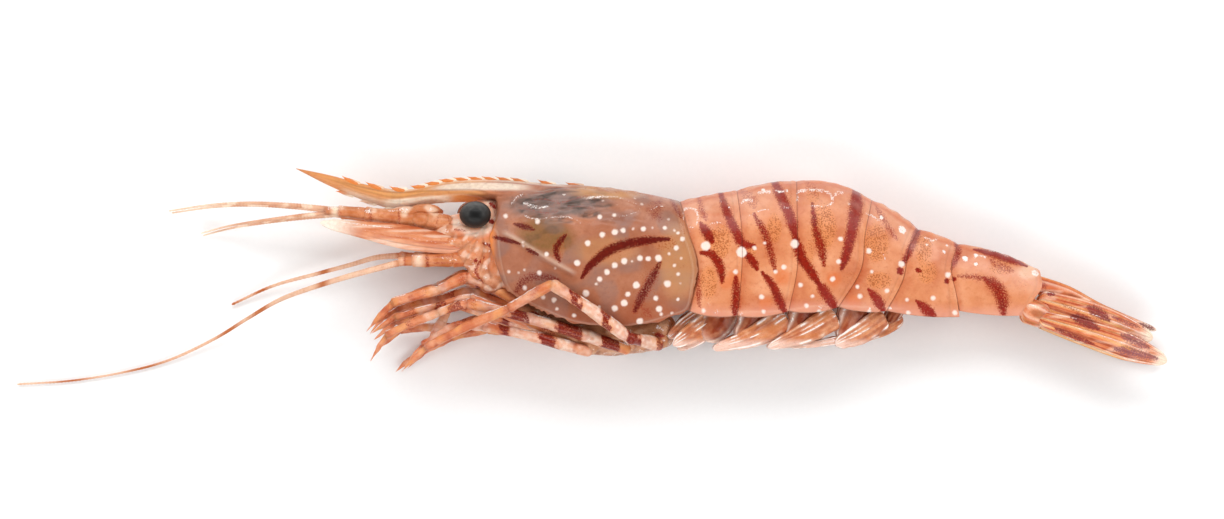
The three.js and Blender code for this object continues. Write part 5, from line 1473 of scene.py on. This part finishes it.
ANTENNAE = {
    "left": (
        [[-18.4, 3.0, 12.2], [-23.1, 2.8, 12.5], [-27.6, 2.65, 12.5], [-29.8, 2.6, 12.5], [-32.2, 2.4, 12.5]],
        [[-31.6, 2.4, 12.5], [-38.5, 0.6, 12.0], [-45.6, -1.5, 10.6], [-52.5, -4.0, 7.4], [-58.2, -7.2, 4.0],
         [-64.0, -10.7, 1.5], [-71.7, -14.3, 0.6], [-79.6, -16.4, 0.45], [-88.4, -17.8, 0.4],
         [-97.5, -18.4, 0.35]],
        [0.58, 0.43, 0.29, 0.2, 0.16],
    ),
    "right": (
        [[-18.4, 3.0, 5.0], [-23.1, 2.9, 4.7], [-27.6, 2.8, 4.7], [-29.8, 3.0, 4.7], [-32.2, 3.4, 4.7]],
        [[-31.6, 3.5, 4.7], [-36.4, 3.1, 4.4], [-40.7, 1.9, 3.7], [-46.0, 0.5, 2.8], [-54.0, -1.7, 1.4],
         [-61.1, -4.9, 0.5]],
        [0.53, 0.37, 0.2],
    ),
}
ANTENNA_RADII = [1.45, 1.25, 1.2, 0.85]
WHIP_SHARES = np.array([1, 0.6, 0.3])
WHIP_RING, WHIP_RIPPLE = 0.55, 0.03
WHIP_KNOTS = ((13.2, 1.1), (24.0, 1.4), (29.5, 2.0), (44.0, 3.0), (56.0, 3.0))
SCALE_LINE = [[-21.6, 4.9, 12.6], [-32.3, 6.7, 12.9], [-45.6, 9.0, 11.6]]
SCALE_WIDE, SCALE_THICK, SCALE_LEAN = [1.3, 1.95, 2.1, 1.45, 0.8], [0.7, 0.45, 0.3], 0.31
SCALE_RIBS = ((0.84, 0.3, 0.1), (0.45, 0.14, 0.07), (0.15, 0.1, 0.06), (-0.2, 0.1, 0.06), (-0.5, 0.12, 0.07))


def mirrored(points):
    """The same points on the right side."""
    points = np.array(points, float)
    points[:, 2] = 2 * BODY_REST - points[:, 2]
    return points


def whip(path, radii, ends=(0.4, 0.3)):
    """A long thin feeler that ripples where one of its tiny rings meets the next."""
    length = np.linalg.norm(np.diff(np.array(path), axis=0), axis=1).sum()

    def ripple(_, share):
        return WHIP_RIPPLE * np.cos(share * length / WHIP_RING * 2 * math.pi)

    return sweep(path, radii, ends=ends, sides=14, step=0.14, relief=ripple)[0]


def stem(joints, radii):
    """The segments of a feeler's stem, each flared where it carries the next."""
    skins = []
    for i, radius in enumerate(radii):
        a, b = np.array(joints[i], float), np.array(joints[i + 1], float)
        reach = (b - a) / np.linalg.norm(b - a) * radius * 0.5
        wide = [radius * share for share in (0.84, 1.0, 0.94, 0.9, 1.03)]
        ends = (radius * 0.6, radius * 0.6)
        skins.append(sweep([a - reach, (a + b) / 2, b + reach], wide, ends=ends, sides=32, step=0.16)[0])
    return skins


def scale_relief(broad, share):
    """Stout outer rib and finer ribs along the scale, fading to its tip."""
    ribs = sum(height * hump(broad, at, half) for at, height, half in SCALE_RIBS)
    return ribs * (1 - 0.5 * share)


# %% Feelers
STEM_MARKS = [
    ([(-23.4, 7.6), (-24.2, 10.2)], (0.1, 0.12), 0.45, 0),
    ([(-26.4, 7.6), (-25.6, 10.4)], (0.1, 0.12), 0.45, 0),
    ([(-32.2, 8.4), (-32.4, 11.2)], (0.14, 0.16), 0.55, 0),
    ([(-37.0, 9.0), (-37.3, 11.8)], (0.4, 0.45), 0.5, 0),
    ([(-42.2, 10.0), (-42.6, 12.0)], (0.25, 0.3), 0.45, 0),
    ([(-27.4, 1.2), (-27.6, 3.4)], (0.25, 0.3), 0.6, 0),
    ([(-21.6, 1.4), (-21.2, 4.2)], (0.1, 0.1), 0.4, 0),
    ([(-31.2, 1.6), (-31.4, 3.4)], (0.15, 0.15), 0.5, 0),
    ([(-26.6, 3.2), (-22.4, 3.4)], (0.1, 0.1), 0.5, 0),
    ([(-26.6, 2.2), (-22.4, 2.1)], (0.1, 0.1), 0.5, 0),
]
for side, word in SIDES:
    # the small pair
    joints, top, low = (np.array(part, float) for part in (ANTENNULE_JOINTS, ANTENNULE_TOP, ANTENNULE_LOW))
    knobs = ANTENNULE_KNOBS
    if side < 0:
        droop = (2 * BODY_REST - top[0][2]) / top[0][2]
        joints, knobs = mirrored(joints) + ANTENNULE_OFFSET, mirrored(knobs) + ANTENNULE_OFFSET
        top, low = (line * [1, 1, droop] + ANTENNULE_OFFSET for line in (top, low))
    whips = [whip(top, 0.45 * WHIP_SHARES), whip(low, 0.4 * WHIP_SHARES)]
    swellings = [lump(place, radii) for place, radii in zip(knobs, KNOB_RADII)]
    points, faces = joined([*stem(joints, ANTENNULE_RADII), *swellings, *whips])
    x, y = points[:, 0], points[:, 1]
    pigment, _ = stripes_at(points, STEM_MARKS)
    on_whip = fade(-45.4, -44, x)
    tiny = 0.5 + 0.5 * np.cos((x + 44) * 2 * math.pi / WHIP_RING)
    bands = (0.25 + 0.5 * tiny) * smooth(-0.3, 0.8, waves(points, 6.0, 46)) * on_whip * smooth(-68, -52, x)
    ring_tone = 0.8 * hump(x, -44.6, 0.8) + 0.6 * hump(x, -40.5, 1.2) + 0.5 * hump(x, -29.5, 2.0)
    pale = (0.35 + 0.5 * smooth(-56, -68, x)) * on_whip * (1 - bands) + 0.8 * hump(x, -43.2, 0.6)
    pale += 0.5 * smooth(0.2, 0.9, waves(points, 2.5, 41))
    # painted highlights in patches on the upper side of the stem
    film = 0.8 * smooth(0.5, 0.9, waves(points * [0.5, 1.2, 1], 1.6, 42)) * (1 - on_whip)
    make_piece(
        f"antennule_{word}", "feeler_skin", FEELER_SHELL, points, faces, pigment=pigment * (1 - on_whip),
        stipple=0.35, rust=np.clip(1.1 * bands + ring_tone, 0, 1), pale=np.clip(pale, 0, 1),
        film=film * smooth(-0.2, 0.6, y - 10),
    )
    # the long pair
    joints, path, radii = ANTENNAE[word]
    points, faces = joined([*stem(joints, ANTENNA_RADII), whip(path, radii)])
    laid(points, 0.03)
    x = points[:, 0]
    pigment, _ = stripes_at(points, STEM_MARKS)
    on_whip = fade(-33.4, -32.4, x)
    out = np.clip(-32 - x, 0, 99)
    tiny = 0.5 + 0.5 * np.cos(out * 2 * math.pi / WHIP_RING)
    knots = sum(hump(out, at, half) for at, half in WHIP_KNOTS)
    bands = np.clip(knots + 0.3 * tiny * smooth(-0.4, 0.6, waves(points, 7.0, 47)), 0, 1) * on_whip
    pale = 0.55 * (1 - bands) * on_whip + 0.7 * hump(x, -29.0, 0.8) + 0.4 * hump(x, -31.9, 0.4)
    # painted highlights in patches on the stem
    make_piece(
        f"antenna_{word}", "feeler_skin", FEELER_SHELL, points, faces, pigment=pigment * (1 - on_whip),
        stipple=0.35, rust=np.clip(0.85 * bands + 0.7 * hump(x, -24.8, 1.2), 0, 1), pale=np.clip(pale, 0, 1),
        film=0.7 * smooth(0.5, 0.9, waves(points * [0.5, 1.2, 1], 1.6, 43)) * (1 - on_whip),
    )
    # the scale
    path = SCALE_LINE if side > 0 else mirrored(SCALE_LINE)
    lean = (0, -math.cos(SCALE_LEAN), math.sin(SCALE_LEAN) * side)
    (points, faces), share, broad = sweep(path, SCALE_WIDE, SCALE_THICK, lean, (2, 3), 96, 0.2, scale_relief)
    streak = waves(points * [0.12, 1.8, 1.2], 1.3, 44)
    rust = (0.75 * smooth(0.1, 0.8, -streak) + 0.6 * hump(broad, -0.94, 0.12)) * fade(0.55, 0.85, share)
    # painted highlights along two of the ribs
    film = 0.95 * hump(broad, -0.55, 0.12) * smooth(0.45, 0.6, share) * fade(0.85, 0.95, share)
    make_piece(
        f"antennal_scale_{word}", "scale_skin", SCALE_SHELL, points, faces, stipple=0.15,
        pale=np.clip(smooth(0.7, 0.95, share) + 0.35 * smooth(0.3, 0.9, streak), 0, 1),
        rust=np.clip(rust, 0, 1), pink=0.4 * smooth(0.1, 0.7, broad) * fade(0.6, 0.8, share),
        film=film + 0.7 * hump(broad, 0.1, 0.07),
        seam=0.45 * hump(broad, 0.62, 0.05) * fade(0.5, 0.8, share),
    )

# %% [markdown]
# ## Swimmerets
# Under each of the first five tail rings hangs a pair of paddles: a flat stout arm and up to three thin
# blades, folded forward over the pair in front. They are thin and very wet. Highlights are painted along
# their edges and ridges, with painted shade in the valleys between, and the lower margins are nearly clear.

# %% Swimmeret sizes: line, half-widths, and how far its two ends lie from the middle
SWIMMERETS = [
    (([[22.6, -4.6], [20.9, -8.0], [18.6, -10.6]], [3.3, 2.9, 1.6], (3.6, 4.2)),
     ([[21.4, -6.4], [17.2, -9.4], [13.6, -11.6]], [2.0, 1.8, 0.8], (4.0, 5.2)),
     ([[20.6, -8.8], [17.4, -11.1], [14.4, -12.3]], [0.9, 0.8, 0.45], (3.8, 4.2)),
     ([[19.4, -5.6], [15.9, -8.0], [12.9, -10.4]], [1.3, 1.4, 0.7], (3.6, 4.4))),
    (([[28.2, -4.4], [26.9, -8.6], [24.4, -10.8]], [3.6, 3.1, 1.6], (3.6, 4.8)),
     ([[32.7, -6.8], [27.4, -10.0], [20.4, -12.2]], [2.3, 1.8, 0.6], (4.7, 5.8)),
     ([[31.0, -9.8], [27.6, -11.0], [24.0, -12.1]], [1.1, 0.9, 0.5], (3.6, 4.2))),
    (([[37.0, -4.2], [35.6, -8.4], [33.0, -10.7]], [3.6, 3.1, 1.6], (3.4, 4.7)),
     ([[41.1, -6.6], [36.0, -9.5], [29.6, -12.0]], [2.3, 1.8, 0.6], (4.6, 5.7)),
     ([[39.0, -9.6], [35.4, -10.9], [31.6, -11.9]], [1.1, 0.9, 0.5], (3.5, 4.1))),
    (([[45.0, -4.2], [43.8, -8.2], [41.6, -10.6]], [3.4, 3.0, 1.6], (2.7, 3.8)),
     ([[49.4, -6.8], [45.2, -9.6], [41.0, -11.5]], [2.0, 1.9, 1.0], (3.2, 4.5)),
     ([[43.6, -10.4], [38.4, -11.3], [33.4, -11.9]], [0.8, 0.6, 0.4], (3.4, 4.8))),
    (([[51.8, -4.8], [49.8, -8.4]], [1.5, 1.3], (1.8, 1.5)),
     ([[52.4, -7.0], [49.2, -8.8], [45.4, -10.4]], [1.0, 1.3, 0.8], (2.0, 1.6))),
]
ARM_THICK, LEAF_THICK = [0.8, 0.8], [0.4, 0.35, 0.25]
ARM_ENDS, LEAF_ENDS, LEAF_STEP = (1.0, 1.4), (0.9, 1.2), 0.26
ARM_RIDGES = ((0.86, 0.22, 0.08), (0.3, 0.12, 0.08), (-0.25, 0.14, 0.08), (-0.8, 0.22, 0.09))
LEAF_RIDGES = (
    (0.84, 0.26, 0.09), (0.38, 0.12, 0.06), (0.02, 0.16, 0.06), (-0.36, 0.1, 0.06), (-0.82, 0.22, 0.09),
)


def ridged(ridges):
    """Relief of long ridges, each at a place across the part, with a height and a half-width."""
    def relief(broad, share):
        return sum(height * hump(broad, at, half) for at, height, half in ridges) * (1 - 0.4 * share)

    return relief


def leaf(line, wide, out, thick, ends, ridges, side):
    """One flat part of a swimmeret. out is how far its two ends lie from the middle of the body."""
    share = np.linspace(0, 1, len(line))
    path = [[a, b, midplane(a) + side * (out[0] + (out[1] - out[0]) * s)] for (a, b), s in zip(line, share)]
    return sweep(path, wide, thick, (0, 1, 0), ends, 72, LEAF_STEP, ridged(ridges))


# %% Swimmerets
for index, (arm, *blades) in enumerate(SWIMMERETS):
    for side, word in SIDES:
        made = [leaf(*arm, ARM_THICK, ARM_ENDS, ARM_RIDGES, side)]
        made += [leaf(*blade, LEAF_THICK, LEAF_ENDS, LEAF_RIDGES, side) for blade in blades]
        points, faces = joined([part[0] for part in made])
        share = np.concatenate([part[1] for part in made])
        broad = np.concatenate([part[2] for part in made])
        on_arm = np.arange(len(points)) < len(made[0][1])
        streak = waves(np.stack([share * 3 + points[:, 0] * 0.05, broad * 5, on_arm * 4], 1), 2.0, 60 + index)
        edge = hump(broad, 0.82, 0.13) + hump(broad, -0.82, 0.1)
        middle_ridge = hump(broad, 0.38, 0.06) + hump(broad, 0.02, 0.08)
        gleam = smooth(-0.3, 0.5, waves(points, 3.2, 70 + index))
        points = pushed(points, faces, 0.05 * waves(points, 1.6, 80 + index))
        laid(points, 0.02)
        clear = fade(-11.4, -10.2, points[:, 1])
        # painted highlights along the edges and ridges where they gleam, white and pale on the blades and
        # white on the arm; the seams in the valleys between the ridges are painted shade
        film = (1.6 * edge + 1.3 * middle_ridge) * gleam * ~on_arm + 0.8 * edge * gleam * on_arm
        make_piece(
            f"swimmeret_{index + 1}_{word}", "swimmeret_skin", SWIMMERET_SKIN, points, faces, stipple=0.35,
            rust=np.clip(on_arm * 0.6 + 0.4 * smooth(0.1, 0.8, streak), 0, 1),
            gold=0.45 * smooth(0.1, 0.8, -streak) * ~on_arm, film=np.clip(film, 0, 1.2),
            pink=np.clip(0.8 * clear + 0.4 * smooth(0.75, 1.0, share), 0, 1),
            pale=np.clip((0.9 * edge + 0.5 * middle_ridge) * gleam * ~on_arm + 0.45 * edge * on_arm, 0, 1),
            seam=0.4 * (hump(broad, 0.62, 0.07) + hump(broad, -0.6, 0.07)) * (0.4 + 0.6 * on_arm),
        )

# %% [markdown]
# ## The tail fan
# A narrow telson in the middle and two blades on each side, on a short stout base. Long fine ribs run down
# each blade. The blades end pale, after dark red and purple patches.

# %% Tail fan
TELSON_LINE = [[74.4, -1.3], [80.2, -3.0], [86.0, -5.7], [95.4, -9.2]]
TELSON_WIDE, TELSON_DEEP = [2.35, 1.95, 1.3, 0.6], [1.7, 1.4, 1.0, 0.4]
FAN_BLADES = {
    "fan_outer": ([[75.4, -7.2], [87, -10.8], [96.9, -14.4]], 4.1, [1.5, 2.2, 2.35, 1.0]),
    "fan_inner": ([[75.2, -4.1], [85.5, -7.2], [94.6, -10.6]], 2.6, [1.9, 2.4, 2.2, 1.1]),
}
FAN_THICK, FAN_LEAN, FAN_STEP = [0.55, 0.45, 0.25], 0.2, 0.24
FAN_BASE, FAN_BASE_OUT, FAN_BASE_REST = [[72.6, -5.4], [77.0, -7.2]], 3.0, 75
FAN_BASE_WIDE, FAN_BASE_DEEP = [1.5, 1.3], [2.3, 2.0]
FAN_STRIPES = [
    ([(83.8, -5.4), (85.4, -6.2), (87.2, -7.4)], (0.8, 0.9, 0.5), 0.8, 0.3),
    ([(80.9, -6.8), (83.0, -7.6), (85.2, -8.8)], (0.6, 0.9, 0.6), 0.85, 0.2),
    ([(89.3, -9.9), (91.2, -10.8), (93.6, -12.0)], (0.6, 0.8, 0.6), 0.7, 0.9),
    ([(88.2, -12.3), (91.0, -12.9), (95.2, -13.9)], (0.7, 0.8, 0.5), 0.7, 1.0),
    ([(92.6, -8.1), (94.9, -8.9)], (0.4, 0.35), 0.7, 0.9),
    ([(78.0, -8.8), (81.0, -10.1), (84.5, -11.5)], (0.3, 0.4, 0.25), 0.75, 0.1),
    ([(76.9, -3.0), (77.9, -3.1)], (0.3, 0.25), 0.9, 0.2),
    ([(87.8, -6.9), (90.4, -8.0), (92.2, -8.6)], (0.3, 0.4, 0.3), 0.6, 0.6),
    ([(79.0, -4.6), (82.0, -6.0)], (0.25, 0.3), 0.5, 0),
    ([(75.2, -1.4), (76.6, -1.8)], (0.5, 0.5), 0.55, 0.5),
]
# place across the blade and height of each rib
BLADE_RIBS = (
    (0.86, 0.24), (0.68, 0.1), (0.5, 0.14), (0.3, 0.12), (0.1, 0.3),
    (-0.1, 0.12), (-0.32, 0.14), (-0.52, 0.1), (-0.7, 0.16), (-0.87, 0.2),
)
RIB_HALF = 0.055


def blade_ribs(broad, share):
    """A stout middle rib and many fine ones, fading to the tip."""
    return sum(height * hump(broad, at, RIB_HALF) for at, height in BLADE_RIBS) * (1 - 0.6 * share)


def telson_ribs(broad, share):
    """Two keels along the telson and a groove between them."""
    keels = 0.32 * hump(np.abs(broad), 0.6, 0.1) + 0.12 * hump(np.abs(broad), 0.9, 0.06)
    return (keels - 0.4 * hump(broad, 0, 0.28) * (1 - share)) * (1 - 0.5 * share)


def fan_piece(node, made, tip=1.0):
    """One swept part of the fan with its colours. tip is how pale its end is."""
    (points, faces), share, broad = made
    pigment, purple = stripes_at(points, FAN_STRIPES)
    nothing = points[:, 0] * 0
    streak = waves(np.stack([share * 2, broad * 9, nothing], 1), 2.2, 71)
    furrow = waves(np.stack([share * 1.5, broad * 14, nothing], 1), 2.0, 75)
    rib = hump(broad, 0.1, 0.06) + hump(np.abs(broad), 0.88, 0.06)
    pale = tip * smooth(0.84, 0.97, share) + 0.45 * rib
    pale += 0.3 * smooth(0.4, 0.9, waves(points * [0.3, 1.4, 1], 1.5, 73))
    # painted highlights along the ribs, in patches
    make_piece(
        node, "fan_shell", FAN_SHELL, points, faces, pigment=pigment, purple=purple, stipple=0.3,
        gold=np.clip(0.75 * smooth(0.1, 0.9, streak) * fade(0.6, 0.9, share), 0, 1),
        rust=np.clip(0.8 * smooth(0.1, 0.9, -streak) * fade(0.65, 0.9, share), 0, 1),
        pink=0.6 * smooth(0.55, 0.8, share) * smooth(-0.6, 0.6, waves(points, 2.4, 72)),
        film=0.85 * rib * smooth(-0.2, 0.5, waves(points * [0.5, 1, 1], 2.4, 74)),
        pale=np.clip(pale, 0, 1), seam=0.5 * smooth(0.5, 1.0, furrow),
    )


line = [[a, b, midplane(a)] for a, b in TELSON_LINE]
made = sweep(line, TELSON_WIDE, TELSON_DEEP, ends=(0.6, 1.5), sides=96, step=0.2, relief=telson_ribs)
fan_piece("telson", made)
for side, word in SIDES:
    lean = (0, math.cos(FAN_LEAN), -side * math.sin(FAN_LEAN))
    for name, (line, out, wide) in FAN_BLADES.items():
        path = [[a, b, midplane(a) + side * out] for a, b in line]
        fan_piece(f"{name}_{word}", sweep(path, wide, FAN_THICK, lean, (1.1, 1.8), 144, FAN_STEP, blade_ribs))
    path = [[a, b, midplane(FAN_BASE_REST) + side * FAN_BASE_OUT] for a, b in FAN_BASE]
    base = sweep(path, FAN_BASE_WIDE, FAN_BASE_DEEP, ends=(1.6, 1.2), sides=48, step=0.15)
    fan_piece(f"fan_base_{word}", base, tip=0.3)

# %% [markdown]
# ## Table, light and camera
# A plain white surface under the animal. Four large soft boxes stand round it, the strongest behind its
# back, where it gives the long wet highlights of the upper flank. Straight above it is dim, because a wet
# skin mirrors what is above it and would look milky. The camera looks straight down on the left side through
# a long lens.

# %% Table
HALF_TABLE, TABLE_DROP = 1.2, 0.1 * MM
PAPER_TOOTH = 0.8
# matt white board: even, with a hint of tooth, so that it never shines
FLOOR = blank_material("matt_white_board")
tree = FLOOR.node_tree
place = add(tree, "ShaderNodeTexCoord").outputs["Object"]
knobs = {"Vector": place, "Scale": PER_METRE / PAPER_TOOTH, "Detail": 4.0}
paper = add(tree, "ShaderNodeTexNoise", None, knobs)
board = add(tree, "ShaderNodeMix", COLOUR, {
    0: paper.outputs["Fac"], MIX_A: hex_colour("#F6F6F6"), MIX_B: hex_colour("#FBFBFB"),
})
shader = add(tree, "ShaderNodeBsdfPrincipled", None, {
    "Base Color": board.outputs[MIX_OUT], "Roughness": 0.75, "IOR": 1.45,
})
add(tree, "ShaderNodeOutputMaterial", None, {"Surface": shader.outputs["BSDF"]})
corners = [(a, b, 0) for a, b in ((-1, -1), (1, -1), (1, 1), (-1, 1))]
floor_mesh = as_mesh("table", np.array(corners) * HALF_TABLE, [[0, 1, 2, 3]])
floor_mesh.materials.append(FLOOR)
table = bpy.data.objects.new("table", floor_mesh)
bpy.context.scene.collection.objects.link(table)
table.location.z = -TABLE_DROP
table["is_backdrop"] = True
print("table, m:", 2 * HALF_TABLE, "square")

# %% Light
WORLD_STRENGTH = 0.16
world = bpy.data.worlds.new("soft_surround")
bpy.context.scene.world = world
world.use_nodes = True
tree = world.node_tree
tree.nodes.clear()
sky = add(tree, "ShaderNodeBackground", None, {"Color": (1.0, 1.0, 1.0, 1.0), "Strength": WORLD_STRENGTH})
add(tree, "ShaderNodeOutputWorld", None, {"Surface": sky.outputs["Background"]})


def soft_box(name, place, size, power):
    """A rectangular lamp that faces the animal. place is in metres, size in metres, power in watts."""
    lamp = bpy.data.lights.new(name, "AREA")
    lamp.shape = "RECTANGLE"
    lamp.size, lamp.size_y = size
    lamp.energy = power
    box = bpy.data.objects.new(name, lamp)
    bpy.context.scene.collection.objects.link(box)
    box.location = place
    box.rotation_euler = (-Vector(place)).to_track_quat("-Z", "Y").to_euler()


soft_box("key_behind_back", (0.05, 0.45, 0.47), (0.9, 0.3), 3.4)
soft_box("fill_belly_side", (-0.05, -0.47, 0.45), (0.9, 0.4), 2.7)
soft_box("fill_before_head", (-0.5, 0.05, 0.4), (0.4, 0.5), 1.4)
soft_box("fill_behind_tail", (0.5, 0.0, 0.4), (0.4, 0.5), 1.3)


# %% Camera
FRAME_WIDTH = 205.6 * MM
FRAME_MIDDLE = (3.444, 2.772, 0)
LENS, SENSOR, FAR = 200.0, 36.0, 10
DEPTH = 12 * MM
camera_data = bpy.data.cameras.new("camera")
camera_data.lens = LENS
camera_data.sensor_width = SENSOR
camera_data.clip_end = FAR
camera = bpy.data.objects.new("camera", camera_data)
bpy.context.scene.collection.objects.link(camera)
camera.location = (*in_scene(FRAME_MIDDLE)[:2], DEPTH + FRAME_WIDTH * LENS / SENSOR)
camera.rotation_euler = (0, 0, 0)
bpy.context.scene.camera = camera
bpy.context.scene.view_settings.view_transform = "Standard"
print("camera height, mm:", round(camera.location.z / MM, 1))

# %% Keep the boxes and finish
SEEN_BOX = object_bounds()
for word, box in (("cad", CAD_BOX), ("visual", SEEN_BOX)):
    print(word, "box, mm:", (np.array(box) / MM).round(2).tolist())
